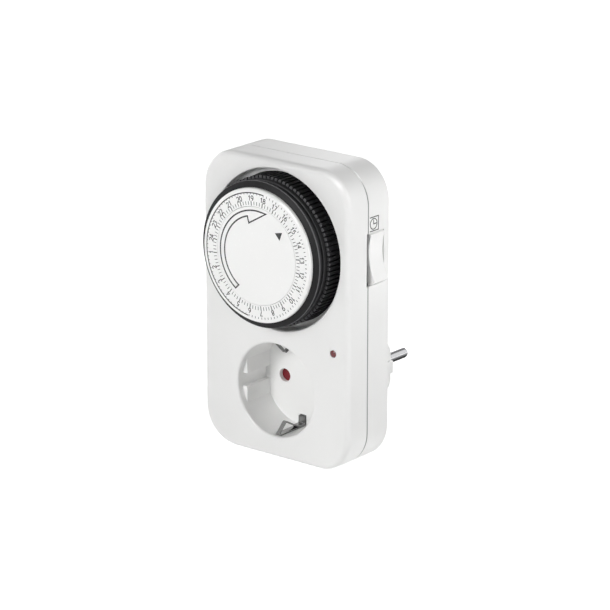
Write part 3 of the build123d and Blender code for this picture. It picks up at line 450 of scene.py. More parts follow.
FINISHES: dict[Slot, Finish] = {
    # Satin white ABS from a spark-eroded mould: a fine even grain and a broad, soft sheen. The
    # joint between the two shells shows as a grey line of dust and painted shade, which fades
    # towards the top where light fills it.
    Slot.HOUSING: Finish(
        "satin_white_abs", "#F3F3F2", "#EEEEED",
        drift_mm=28.0, gloss=(0.3, 0.42), relief=(0.45, 0.004), ior=1.53,
        # Dark joint line with painted shade; it fades towards the top, where light fills the groove.
        marks=(Mark(depth=12.4, half=0.3, colour="#8B8B8A", cover=0.85, beyond=24.0, fade=86.0),),
    ),
    # Polished white ABS under the printing: smoother and whiter than the housing.
    Slot.DIAL: Finish(
        "polished_white_abs", "#FBFBFA", "#F8F8F7",
        drift_mm=22.0, gloss=(0.22, 0.3), relief=(0.8, 0.002), ior=1.53,
    ),
    # Black polyamide from a turned mould: near black, with rings that spread the highlights,
    # drawn about twice as coarse as they are. The bezel's rim and the wall's edge carry painted
    # highlight lines, and the neck and the grooves between the tabs are painted lighter where they
    # lie in shade.
    Slot.DRUM: TurnedFinish(
        "turned_black_nylon", "#0E0E0F", "#1B1B1C",
        drift_mm=1.6, gloss=(0.36, 0.6), relief=(0.6, 0.035), shine=0.15,
        marks=(
            # Painted highlight: a pale line along the bezel's rounded rim.
            Mark(depth=-8.58, half=0.27, colour="#6A6A6C", cover=0.85),
            # Painted light: lifts the neck, which lies in the bezel's shade.
            Mark(depth=-6.5, half=0.9, colour="#343436", cover=0.8),
            # Painted highlight: a pale line along the front edge of the drum's wall.
            Mark(depth=-5.38, half=0.14, colour="#4A4A4C", cover=0.8),
            # Painted light: lifts the shade in the grooves between the tabs.
            Mark(depth=2.0, half=4.8, colour="#1F1F21", cover=0.8),
        ),
    ),
    # Black acetal tabs: the same black, with a painted highlight line along their front edges.
    Slot.TAB: Finish(
        "black_acetal_tab", "#161617", "#1D1D1F",
        drift_mm=3.0, gloss=(0.36, 0.52), relief=(0.35, 0.004), ior=1.48, shine=0.15,
        # Painted highlight: a pale line along the tabs' rounded front edges.
        marks=(Mark(depth=-3.36, half=0.18, colour="#606062", cover=0.85),),
    ),
    # Bright nickel plating on solid brass pins: a mirror with hair-fine drawing lines.
    Slot.PIN: RolledFinish(
        "nickel_plated_pin", "#D8D8DA", "#CBCBCE",
        drift_mm=6.0, gloss=(0.12, 0.22), relief=(0.12, 0.001), metal=True, stretch=(1.0, 20.0, 1.0),
    ),
    # Tin-plated spring bronze: rolled strip, darker and duller than the pins.
    Slot.EARTH: RolledFinish(
        "tinned_spring_strip", "#969695", "#6C6C6B",
        drift_mm=4.0, gloss=(0.16, 0.32), relief=(0.18, 0.002), metal=True,
    ),
    # Drawn brass sleeves: warm yellow, slightly tarnished.
    Slot.BRASS: RolledFinish(
        "drawn_brass", "#C9A463", "#A9824A",
        drift_mm=5.0, gloss=(0.2, 0.36), relief=(0.15, 0.002), metal=True, stretch=(1.0, 10.0, 1.0),
    ),
    # Red acetal shutter: a signal red that is moulded through, darkened further to paint the shade
    # it sits in at the bottom of the socket's hole.
    Slot.SHUTTER: Finish(
        "red_acetal", "#7C1B25", "#6E161F",
        drift_mm=8.0, gloss=(0.24, 0.36), relief=(0.5, 0.003), ior=1.48,
    ),
    # Tinted polycarbonate lens: dark red when the lamp behind it is off, with a wet shine.
    Slot.LENS: ClearFinish(
        "tinted_polycarbonate", "#8E2026", "#74171C",
        drift_mm=2.0, gloss=(0.06, 0.12), relief=(0.6, 0.002), ior=1.58, clarity=0.35,
    ),
    # Soda glass of the glow lamp.
    Slot.LAMP: ClearFinish(
        "lamp_soda_glass", "#F2F0EC", "#E9E6E0",
        drift_mm=4.0, gloss=(0.03, 0.06), relief=(1.5, 0.001), ior=1.52, clarity=0.9,
    ),
    # Grey glass-filled nylon plate: fibres leave a faint cloudy surface.
    Slot.MECHANISM: Finish(
        "grey_filled_nylon", "#9C9D9E", "#8F9091",
        drift_mm=7.0, gloss=(0.36, 0.52), relief=(0.5, 0.006), ior=1.54,
    ),
    # Natural acetal gears: milky and waxy.
    Slot.GEAR: Finish(
        "natural_acetal", "#ECE8DC", "#E2DDCF",
        drift_mm=6.0, gloss=(0.24, 0.36), relief=(0.6, 0.002), ior=1.48,
    ),
    # Zinc-plated pressed steel motor can: cool grey with a faint bloom.
    Slot.MOTOR: RolledFinish(
        "zinc_plated_sheet", "#BFC3C6", "#A7ACB0",
        drift_mm=8.0, gloss=(0.24, 0.4), relief=(0.3, 0.002), metal=True, stretch=(8.0, 1.0, 8.0),
    ),
    # Black PBT of the switch bodies: flat and a little chalky.
    Slot.SWITCH: Finish(
        "black_pbt", "#242425", "#2E2E2F",
        drift_mm=5.0, gloss=(0.38, 0.52), relief=(0.5, 0.004), ior=1.55,
    ),
    # Zinc-plated cold-headed screws.
    Slot.SCREW: Finish(
        "zinc_plated_screw", "#C3C6C8", "#AEB2B5",
        drift_mm=2.0, gloss=(0.2, 0.36), relief=(0.3, 0.002), metal=True,
    ),
}
# The rocker's white ABS comes from a polished mould and is a little whiter.
ROCKER_ABS = Finish(
    "polished_rocker_abs", "#FCFCFB", "#F9F9F8",
    drift_mm=12.0, gloss=(0.2, 0.3), relief=(0.8, 0.002), ior=1.53,
)
# Black pad-printing ink: thin, satin, a touch uneven in density.
INK_BLACK = Finish(
    "black_print_ink", "#171718", "#242425",
    drift_mm=1.2, gloss=(0.36, 0.5), relief=(0.3, 0.001),
)
# The same ink where fine ticks print lighter.
INK_GREY = replace(INK_BLACK, name="grey_print_ink", colour="#353537", drift="#4A4A4C")
NODE_FINISHES: dict[str, Finish] = {"rocker_button": ROCKER_ABS}


# ---- surfaces ----
@dataclass
class Surface:
    """A mesh before Blender has it.

    Attributes:
        points: places in millimetres, one row each.
        faces: numbers of the points round each face.
    """

    points: Array
    faces: list[list[int]]


def merged(surfaces: Iterable[Surface]) -> Surface:
    """Put several surfaces into one.

    Args:
        surfaces: the surfaces in order.

    Returns:
        One surface; each one's face numbers move up by the points before it.
    """
    points: list[Array] = []
    faces: list[list[int]] = []
    start = 0
    for surface in surfaces:
        points.append(surface.points)
        faces.extend([start + corner for corner in face] for face in surface.faces)
        start += len(surface.points)
    return Surface(np.concatenate(points), faces)


def swept(sections: Array, ring: bool) -> Surface:
    """Join closed sections to a closed skin.

    Point k of section n has the number n * K + k. A face joins points k and k + 1 of
    two neighbouring sections. Open rows of sections get a face over each end.

    Args:
        sections: array of N sections, K points and 3 coordinates.
        ring: whether the last section joins the first.

    Returns:
        The skin.
    """
    count, corners = sections.shape[:2]
    row, column = np.meshgrid(
        np.arange(count if ring else count - 1), np.arange(corners), indexing="ij"
    )
    row_next = (row + 1) % count
    column_next = (column + 1) % corners
    rows = np.stack([row, row, row_next, row_next], axis=-1)
    columns = np.stack([column, column_next, column_next, column], axis=-1)
    faces = (rows * corners + columns).reshape(-1, 4).tolist()
    if not ring:
        first = np.arange(corners)
        faces.append(first[::-1].tolist())
        faces.append((first + (count - 1) * corners).tolist())
    return Surface(sections.reshape(-1, 3), faces)


@dataclass(frozen=True)
class Sheet:
    """A flat drawing surface in space.

    Attributes:
        origin: where the drawing's zero lies.
        right: direction of the drawing's first axis.
        out: direction away from the surface.
        up: direction of the drawing's second axis.
    """

    origin: Triple
    right: Triple
    out: Triple
    up: Triple = (0, 0, 1)

    def place(self, flat: Array, lift: Array | float) -> Array:
        """Place points at origin + first * right + second * up + lift * out.

        Args:
            flat: points of the drawing.
            lift: how far they stand off the sheet.

        Returns:
            Points in space.
        """
        lifts = np.broadcast_to(lift, flat.shape[:-1])[..., None]
        return (
            np.array(self.origin)
            + flat[..., :1] * np.array(self.right)
            + flat[..., 1:2] * np.array(self.up)
            + lifts * np.array(self.out)
        )


def polar(radius: Array | float, angle: Array | float) -> Array:
    """Return flat points at radius * (cosine, sine) of angles in degrees."""
    turn = np.radians(angle)
    return np.stack(np.broadcast_arrays(radius * np.cos(turn), radius * np.sin(turn)), axis=-1)


def arc(centre: Pair, radii: Pair, start: float, end: float, steps: int = 20) -> Array:
    """Return points of an ellipse's arc: centre + radii * (cosine, sine).

    Args:
        centre: the ellipse's middle.
        radii: its two half-axes.
        start: first angle.
        end: last angle; a whole turn leaves out the point that would repeat.
        steps: number of parts.

    Returns:
        Flat points.
    """
    whole = abs(end - start) >= 360
    angles = np.linspace(start, end, steps + 1)[: steps if whole else None]
    return np.array(centre) + polar(1.0, angles) * np.array(radii)


def softened(outline: Array, reach: float, steps: int = 4) -> Array:
    """Round every corner of a closed outline.

    Each corner P becomes the curve (1-t)^2 A + 2t(1-t) P + t^2 B, where A and B lie on
    the two sides, reach away from P.

    Args:
        outline: flat corners in order.
        reach: how far from a corner its curve starts.
        steps: parts of each curve.

    Returns:
        The rounded outline.
    """
    before = np.roll(outline, 1, axis=0) - outline
    after = np.roll(outline, -1, axis=0) - outline
    before *= reach / np.linalg.norm(before, axis=1, keepdims=True)
    after *= reach / np.linalg.norm(after, axis=1, keepdims=True)
    part = np.linspace(0, 1, steps + 1)[None, :, None]
    start = (outline + before)[:, None]
    end = (outline + after)[:, None]
    corner = outline[:, None]
    curve = (1 - part) ** 2 * start + 2 * part * (1 - part) * corner + part**2 * end
    return curve.reshape(-1, 2)


def bent(path: Array, reach: float, steps: int = 5) -> Array:
    """Round the inner corners of an open path as softened does, and keep its ends."""
    curve = softened(path, reach, steps)[steps + 1:-steps - 1]
    return np.concatenate([path[:1], curve, path[-1:]])


def carried(path: Array, section: Array, sheet: Sheet, ring: bool) -> Surface:
    """Carry a section along a flat path, mitred at its corners.

    At each point the section's first coordinate runs along the bisector of the turn,
    lengthened by one over the cosine of half the turn, and its second leaves the sheet.

    Args:
        path: flat points on the sheet.
        section: flat outline of the section.
        sheet: where the path lies.
        ring: whether the path closes.

    Returns:
        The closed skin.
    """
    ahead = np.roll(path, -1, axis=0) - path
    behind = path - np.roll(path, 1, axis=0)
    if not ring:
        ahead[-1] = behind[-1]
        behind[0] = ahead[0]
    ahead /= np.linalg.norm(ahead, axis=1, keepdims=True)
    behind /= np.linalg.norm(behind, axis=1, keepdims=True)
    side = np.stack([-ahead[:, 1], ahead[:, 0]], axis=1)
    bisector = side + np.stack([-behind[:, 1], behind[:, 0]], axis=1)
    bisector /= np.maximum(np.linalg.norm(bisector, axis=1, keepdims=True), MERGE)
    cosine = np.clip(np.sum(bisector * side, axis=1, keepdims=True), MITRE_LIMIT, 1.0)
    reach = bisector / cosine
    flat = path[:, None] + reach[:, None] * section[None, :, :1]
    lift = np.broadcast_to(section[:, 1], flat.shape[:2])
    return swept(sheet.place(flat, lift), ring)


def lathe(outline: Array, centre: Pair, segments: int) -> Surface:
    """Turn an outline of radius and Y about an axis along Y.

    Point k at angle a lies at centre + radius_k * (cos a, sin a), at its own Y.

    Args:
        outline: radius and Y of each point of the closed outline.
        centre: X and Z of the axis.
        segments: parts of the whole turn.

    Returns:
        The closed skin.
    """
    angles = np.linspace(0, 360, segments, endpoint=False)[:, None]
    flat = np.array(centre) + polar(outline[None, :, 0], angles)
    depth = np.broadcast_to(outline[:, 1], flat.shape[:2])
    return swept(np.stack([flat[..., 0], depth, flat[..., 1]], axis=-1), True)


def shown(name: str, data: ID) -> Object:
    """Make an object and put it into the scene.

    Args:
        name: its name.
        data: its mesh, light or camera.

    Returns:
        The object.
    """
    thing = bpy.data.objects.new(name, data)
    bpy.context.scene.collection.objects.link(thing)
    return thing


def make_piece(
    name: str, surface: Surface, body: Body, slot: Slot, finish: Finish | None = None
) -> Object:
    """Make a shown piece of a surface and let it ride on a body.

    Args:
        name: the piece's name.
        surface: its closed skin.
        body: what it moves with.
        slot: the record's slot that its finish belongs to.
        finish: its finish, where it isn't the slot's own.

    Returns:
        The new object.
    """
    mesh = bpy.data.meshes.new(name)
    mesh.from_pydata((surface.points * METRE).tolist(), [], surface.faces)
    shape = bmesh.new()
    shape.from_mesh(mesh)
    bmesh.ops.remove_doubles(shape, verts=shape.verts, dist=MERGE * METRE)
    bmesh.ops.recalc_face_normals(shape, faces=shape.faces)
    shape.to_mesh(mesh)
    shape.free()
    mesh.polygons.foreach_set("use_smooth", np.ones(len(mesh.polygons), dtype=bool))
    mesh.set_sharp_from_angle(angle=math.radians(SHARP))
    mesh.materials.append((finish or FINISHES[slot]).material())
    piece = shown(name, mesh)
    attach(piece, body.value)
    log.info("%s: %d faces on %s", name, len(mesh.polygons), body.value)
    return piece


# ---- the printing ----
def ink_section(width: float) -> Array:
    """Return the section of a printed line: as wide as asked and as thick as ink."""
    half = width / 2
    return np.array([(-half, -SUNK), (half, -SUNK), (half, INK), (-half, INK)])


@dataclass(frozen=True)
class Numerals:
    """Thin upright figures drawn with one stroke width, as on a printed scale.

    Attributes:
        height: height of a figure.
        advance: step from one figure to the next, in heights.
        middle: half a figure's width, in heights.
    """

    height: float = 1.95
    advance: float = 0.74
    middle: float = 0.3

    def strokes(self, figure: str) -> list[tuple[Array, bool]]:
        """Draw a figure in a cell of height one.

        Args:
            figure: one of the ten figures.

        Returns:
            Its strokes and whether each closes.
        """
        open_strokes: dict[str, list[Array]] = {
            "1": [np.array([(0.12, 0.76), (0.36, 1.0), (0.36, 0.0)])],
            "2": [np.concatenate([
                arc((0.3, 0.72), (0.26, 0.28), 165, -35),
                [(0.04, 0.0), (0.58, 0.0)],
            ])],
            "3": [
                arc((0.28, 0.75), (0.25, 0.25), 150, -90),
                arc((0.28, 0.26), (0.29, 0.26), 90, -150),
            ],
            "4": [np.array([(0.44, 0.0), (0.44, 1.0), (0.02, 0.28), (0.6, 0.28)])],
            "5": [np.concatenate([
                [(0.53, 1.0), (0.13, 1.0), (0.08, 0.56)],
                arc((0.28, 0.32), (0.29, 0.32), 128, -145),
            ])],
            "6": [arc((0.55, 0.35), (0.52, 0.65), 180, 105)],
            "7": [np.array([(0.03, 1.0), (0.57, 1.0), (0.2, 0.0)])],
            "9": [arc((0.05, 0.65), (0.52, 0.65), 0, -75)],
        }
        closed_strokes: dict[str, list[Array]] = {
            "0": [arc((0.3, 0.5), (0.27, 0.5), 0, 360)],
            "6": [arc((0.3, 0.3), (0.27, 0.3), 0, 360)],
            "8": [arc((0.3, 0.76), (0.22, 0.24), 0, 360), arc((0.3, 0.26), (0.28, 0.26), 0, 360)],
            "9": [arc((0.3, 0.7), (0.27, 0.3), 0, 360)],
        }
        drawn = [(stroke, False) for stroke in open_strokes.get(figure, [])]
        return drawn + [(stroke, True) for stroke in closed_strokes.get(figure, [])]

    def number(self, value: int, radius: float, angle: float) -> list[tuple[Array, bool]]:
        """Draw a number with its top outwards.

        A cell's point (x, y) lies at radius + y outwards and x along the tangent that
        runs clockwise, both taken from the number's middle.

        Args:
            value: the number.
            radius: distance of its middle from the dial's axis.
            angle: direction of its middle.

        Returns:
            Its strokes on the dial and whether each closes.
        """
        figures = str(value)
        outward = polar(1.0, angle)
        along = np.array([outward[1], -outward[0]])
        placed = []
        for place, figure in enumerate(figures):
            shift = (place - (len(figures) - 1) / 2) * self.advance - self.middle
            for stroke, ring in self.strokes(figure):
                across = (stroke[:, :1] + shift) * self.height
                upward = (stroke[:, 1:] - 0.5) * self.height
                placed.append((outward * (radius + upward) + along * across, ring))
        return placed


@dataclass
class DialPrint:
    """Scale on the turning ring, and arrow and pointer on the disc that stands still.

    Attributes:
        hours: numbers on the scale.
        quarters: ticks from one number to the next.
        hour_angle: where the last number stands.
        number_radius: distance of the numbers' middles from the axis.
        inner_ticks: radii of the ends of the quarter ticks inside the numbers.
        hour_ticks: the same for the hour ticks.
        outer_ticks: the same for the ticks outside the numbers.
        fine: width of a quarter tick.
        bold: width of an hour tick.
        figure_stroke: width of the figures' lines.
        night_radius: radius of the line along the night hours.
        night_limits: angles of its ends.
        night_width: its width.
        arrow_width: width of the arrow's outline.
        arrow_band: inner and outer radius of its shaft.
        arrow_tail: angles where the shaft's inner and outer arc start.
        arrow_neck: angle where the inner arc meets the head.
        arrow_barb: radius and angle of the head's inner corner.
        arrow_tip: radius and angle of its point.
        arrow_head: angle from the outer arc's end to the point.
        curve_points: points of the night line and of the outer and inner arc.
        pointer: corners of the filled triangle.
        numerals: how the figures are drawn.
    """

    hours: int = 24
    quarters: int = 4
    hour_angle: float = 171.4
    number_radius: float = 23.4
    inner_ticks: Pair = (20.7, 22.15)
    hour_ticks: Pair = (20.4, 22.3)
    outer_ticks: Pair = (24.95, 25.8)
    fine: float = 0.25
    bold: float = 0.36
    figure_stroke: float = 0.33
    night_radius: float = 25.6
    night_limits: Pair = (81.7, 260.3)
    night_width: float = 0.44
    arrow_width: float = 0.6
    arrow_band: Pair = (16.3, 18.5)
    arrow_tail: Pair = (236.2, 234.7)
    arrow_neck: float = 105.7
    arrow_barb: Pair = (13.5, 105.8)
    arrow_tip: Pair = (18.7, 74.4)
    arrow_head: float = 8.0
    curve_points: tuple[int, int, int] = (120, 90, 80)
    pointer: tuple[Pair, ...] = ((9.69, 11.16), (12.01, 8.45), (13.34, 11.94))
    numerals: Numerals = field(default_factory=Numerals)

    def __post_init__(self) -> None:
        """Lay the drawing sheet on the scale's front."""
        low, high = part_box("scale_ring")
        middle = (low + high) / 2 / METRE
        self.sheet = Sheet((middle.x, low.y / METRE, middle.z), (1, 0, 0), (0, -1, 0))

    def line(self, path: Array, width: float, ring: bool = False) -> Surface:
        """Print one line of the dial."""
        return carried(path, ink_section(width), self.sheet, ring)

    def filled(self, outlines: Array) -> Surface:
        """Print filled outlines: an array of outlines, corners and two coordinates."""
        layers = [self.sheet.place(outlines, lift) for lift in (-SUNK, INK)]
        return merged(swept(pair, False) for pair in np.stack(layers, axis=1))

    def ticks(self, limits: Pair, width: float, step: int, skip: int) -> Surface:
        """Print ticks that point at the axis.

        Tick n stands at hour_angle + n * pitch. Its corners lie at both radii, half the
        width to each side.

        Args:
            limits: inner and outer radius.
            width: width of a tick.
            step: quarters from one tick to the next.
            skip: every tick whose number is a multiple of this is left out; zero for none.

        Returns:
            All ticks as one surface.
        """
        total = self.hours * self.quarters
        numbers = np.arange(0, total, step)
        if skip:
            numbers = numbers[numbers % skip != 0]
        angles = self.hour_angle + numbers * 360 / total
        outward = polar(1.0, angles)[:, None]
        along = np.stack([outward[..., 1], -outward[..., 0]], axis=-1)
        radii = np.array([limits[0], limits[1], limits[1], limits[0]])[None, :, None]
        sides = np.array([-1, -1, 1, 1])[None, :, None] * width / 2
        return self.filled(outward * radii + along * sides)

    def numbers(self) -> Surface:
        """Print the numbers of the hours.

        Returns:
            All numbers as one surface.
        """
        drawn = []
        for hour in range(1, self.hours + 1):
            angle = self.hour_angle + hour * 360 / self.hours
            for stroke, ring in self.numerals.number(hour, self.number_radius, angle):
                drawn.append(self.line(stroke, self.figure_stroke, ring))
        return merged(drawn)

    def arrow(self) -> Surface:
        """Print the outline of the arrow that shows which way the dial turns.

        Returns:
            The outline as one surface.
        """
        inner, outer = self.arrow_band
        inner_tail, outer_tail = self.arrow_tail
        tip_radius, tip_angle = self.arrow_tip
        _, outer_points, inner_points = self.curve_points
        outer_end = tip_angle + self.arrow_head
        outer_arc = polar(outer, np.linspace(outer_tail, outer_end, outer_points))
        inner_arc = polar(inner, np.linspace(self.arrow_neck, inner_tail, inner_points))
        corners = np.stack([polar(tip_radius, tip_angle), polar(*self.arrow_barb)])
        path = np.concatenate([outer_arc, corners, inner_arc])
        return self.line(path, self.arrow_width, ring=True)

    def build(self) -> None:
        """Make the printed pieces of the scale and of the centre disc."""
        night = polar(self.night_radius, np.linspace(*self.night_limits, self.curve_points[0]))
        fine = merged([
            self.ticks(self.inner_ticks, self.fine, 1, self.quarters),
            self.ticks(self.outer_ticks, self.fine, 1, 0),
        ])
        bold = merged([
            self.ticks(self.hour_ticks, self.bold, self.quarters, 0),
            self.line(night, self.night_width),
        ])
        make_piece("scale_fine_ticks", fine, Body.DIAL, Slot.DRUM, INK_GREY)
        make_piece("scale_hour_ticks", bold, Body.DIAL, Slot.DRUM, INK_BLACK)
        make_piece("scale_numbers", self.numbers(), Body.DIAL, Slot.DRUM, INK_BLACK)
        make_piece("direction_arrow", self.arrow(), Body.HOUSING, Slot.DRUM, INK_BLACK)
        triangle = self.filled(np.array([self.pointer]))
        make_piece("pointer", triangle, Body.HOUSING, Slot.DRUM, INK_BLACK)


@dataclass
class TimerSymbol:
    """Small clock in an open frame, printed on the side wall over the rocker.

    Attributes:
        middle: depth from the front face and height of the symbol's middle.
        frame: width and height of the open frame.
        clock: radius of the clock's face.
        clock_points: points round the face.
        shift: where the face's middle lies from the frame's, along the depth.
        hands: lengths of the upright and the level hand, as shares of the radius.
        stroke: width of its lines.
    """

    middle: Pair = (16.0, 73.0)
    frame: Pair = (5.4, 5.6)
    clock: float = 2.15
    clock_points: int = 40
    shift: float = -0.35
    hands: Pair = (0.8, 0.7)
    stroke: float = 0.4

    def build(self) -> None:
        """Print the frame, the clock's circle and its two hands."""
        low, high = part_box("front_shell")
        origin = (high.x / METRE, low.y / METRE + self.middle[0], self.middle[1])
        sheet = Sheet(origin, (0, 1, 0), (1, 0, 0))
        section = ink_section(self.stroke)
        bracket = CORNERS[::-1] * self.frame / 2
        face = arc((self.shift, 0.0), (self.clock, self.clock), 0, 360, self.clock_points)
        upright, level = (self.clock * share for share in self.hands)
        hands = np.array([(self.shift, upright), (self.shift, 0.0), (level, 0.0)])
        lines = [
            carried(bracket, section, sheet, False),
            carried(face, section, sheet, True),
            carried(hands, section, sheet, False),
        ]
        make_piece("timer_symbol", merged(lines), Body.HOUSING, Slot.DRUM, INK_BLACK)


# ---- formed pieces ----
@dataclass
class EarthSpring:
    """One strip of spring metal folded into both side contacts and the bridge.

    Attributes:
        half_width: half the strip's width along X.
        thickness: the strip's thickness.
        bend: how far from a fold its rounding starts.
        bend_steps: parts of the curve at each fold.
        edge: how far from the strip's edges their rounding starts.
        half_path: depth and height of the folds of the upper half, from the bridge's
            middle to the free end.
        waist: the strip's width between the fold and the valley, as a share.
        fold: number of the half path's corner where the narrowing starts.
        valley: number of the corner where it ends.
    """

    half_width: float = 1.6
    thickness: float = 0.6
    bend: float = 0.62
    bend_steps: int = 5
    edge: float = 0.14
    half_path: tuple[Pair, ...] = (
        (25.3, 9.6),
        (25.3, 19.2),
        (1.7, 19.2),
        (6.2, 14.7),
        (13.2, 18.6),
        (17.1, 18.6),
        (17.1, 15.3),
    )
    waist: float = 0.54
    fold: int = 2
    valley: int = 4

    def widths(self) -> Array:
        """Return the strip's width at each section, as a share of the whole width.

        It falls from one to the waist along the fold's curve, and rises back along the
        valley's.

        Returns:
            One share for each section of the lower and the upper half.
        """
        count = self.bend_steps + 1
        full = np.ones((len(self.half_path) - 1, count))
        full[self.fold] = np.linspace(1, self.waist, count)
        full[self.fold + 1:self.valley] = self.waist
        full[self.valley] = np.linspace(self.waist, 1, count)
        half = np.append(full.ravel(), 1.0)
        return np.concatenate([half[::-1], half])

    def build(self) -> None:
        """Carry the strip's rounded section along both halves and narrow its waists."""
        low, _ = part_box("front_shell")
        half = np.array(self.half_path)
        below = half[::-1] * (1, -1)
        path = bent(np.concatenate([below, half]), self.bend, self.bend_steps)
        sheet = Sheet((0, low.y / METRE, 0), (0, 1, 0), (1, 0, 0))
        corners = CORNERS * (self.thickness / 2, self.half_width)
        strip = carried(path, softened(corners, self.edge), sheet, False)
        sections = strip.points.reshape(len(path), -1, 3)
        sections[..., 0] *= self.widths()[:, None]
        piece = make_piece("earth_spring_strip", strip, Body.HOUSING, Slot.EARTH)
        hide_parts("earth_clip")


@dataclass
class LampLens:
    """Domed lens of the indicator with a bright rim and a flange behind the wall.

    Attributes:
        radius: radius of the part in the housing's hole.
        dome: how far the dome stands over its own rim.
        proud: how far the dome stands out of the housing.
        flange: radius of the flange.
        wall: thickness of the housing's wall.
        flange_length: thickness of the flange.
        length: where the lens ends, from the housing's face.
        dome_points: points of the dome's outline.
        segments: parts of the whole turn.
    """

    radius: float = 1.5
    dome: float = 0.55
    proud: float = 0.35
    flange: float = 2.3
    wall: float = 2.0
    flange_length: float = 0.9
    length: float = 4.5
    dome_points: int = 9
    segments: int = 48

    def build(self) -> None:
        """Turn the lens: an elliptic dome, the stem, the flange and the flat end."""
        low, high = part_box("indicator_lens")
        middle = (low + high) / 2 / METRE
        front = low.y / METRE
        quarter = np.radians(np.linspace(0, 90, self.dome_points))
        dome = np.stack(
            [self.radius * np.sin(quarter), front + self.dome * (1 - np.cos(quarter))], axis=1
        )
        face = front + self.proud
        back = np.array([
            (self.radius, face + self.wall),
            (self.flange, face + self.wall),
            (self.flange, face + self.wall + self.flange_length),
            (self.radius, face + self.wall + self.flange_length),
            (self.radius, face + self.length),
            (0.0, face + self.length),
        ])
        skin = lathe(np.concatenate([dome, back]), (middle.x, middle.z), self.segments)
        piece = make_piece("domed_lens", skin, Body.HOUSING, Slot.LENS)
        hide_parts("indicator_lens")


# ---- the whole timer ----
def dress_nodes() -> None:
    """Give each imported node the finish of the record's slot that it carries."""
    for name, node in frame["nodes"].items():
        for place in node.material_slots:
            slot = Slot(place.material.name.split(".")[0])
            place.material = NODE_FINISHES.get(name, FINISHES[slot]).material()
        log.info("%s: dressed", name)


# ---- studio ----
@dataclass(frozen=True)
class SoftBox:
    """A square soft light that faces the timer.

    Attributes:
        name: the light's name.
        towards: its azimuth, 0 in front and 90 at the right side, and its elevation.
        distance: distance from the middle of the picture, in metres.
        size: length of its side, in metres.
        level: how bright it alone makes a white surface that faces it; one is white.
        gleam: whether it only shows in glossy reflections.
    """

    name: str
    towards: Pair
    distance: float
    size: float
    level: float
    gleam: bool = False

    def build(self, target: Vector) -> None:
        """Place the light; its power is level * pi^2 * distance^2.

        Args:
            target: point that it faces, in metres.
        """
        lamp = bpy.data.lights.new(self.name, "AREA")
        lamp.shape = "SQUARE"
        lamp.size = self.size
        lamp.energy = self.level * math.pi**2 * self.distance**2
        light = shown(self.name, lamp)
        away = direction(self.towards)
        aim(light, target + away * self.distance, away)
        light.visible_diffuse = not self.gleam


def direction(angles: Pair) -> Vector:
    """Work out a direction: (sin a cos e, -cos a cos e, sin e).

    Args:
        angles: azimuth a and elevation e.

    Returns:
        The unit vector.
    """
    turn, lift = map(math.radians, angles)
    level = math.cos(lift)
    return Vector((math.sin(turn) * level, -math.cos(turn) * level, math.sin(lift)))


def aim(thing: Object, place: Vector, away: Vector) -> None:
    """Put an object at a place in metres and turn its Z axis along a direction."""
    thing.location = place
    thing.rotation_euler = away.to_track_quat("Z", "Y").to_euler()


def square(name: str, half: float, height: float = 0.0) -> tuple[Object, NodeTree]:
    """Show a level square that faces up.

    Args:
        name: its name and its material's.
        half: half its side, in metres.
        height: where it lies, in metres.

    Returns:
        The square and the nodes of its empty material.
    """
    mesh = bpy.data.meshes.new(name)
    points = [(x * half, y * half, height) for x, y in CORNERS.tolist()]
    mesh.from_pydata(points, [], [(0, 1, 2, 3)])
    material = empty_material(name)
    mesh.materials.append(material)
    return shown(name, mesh), material.node_tree


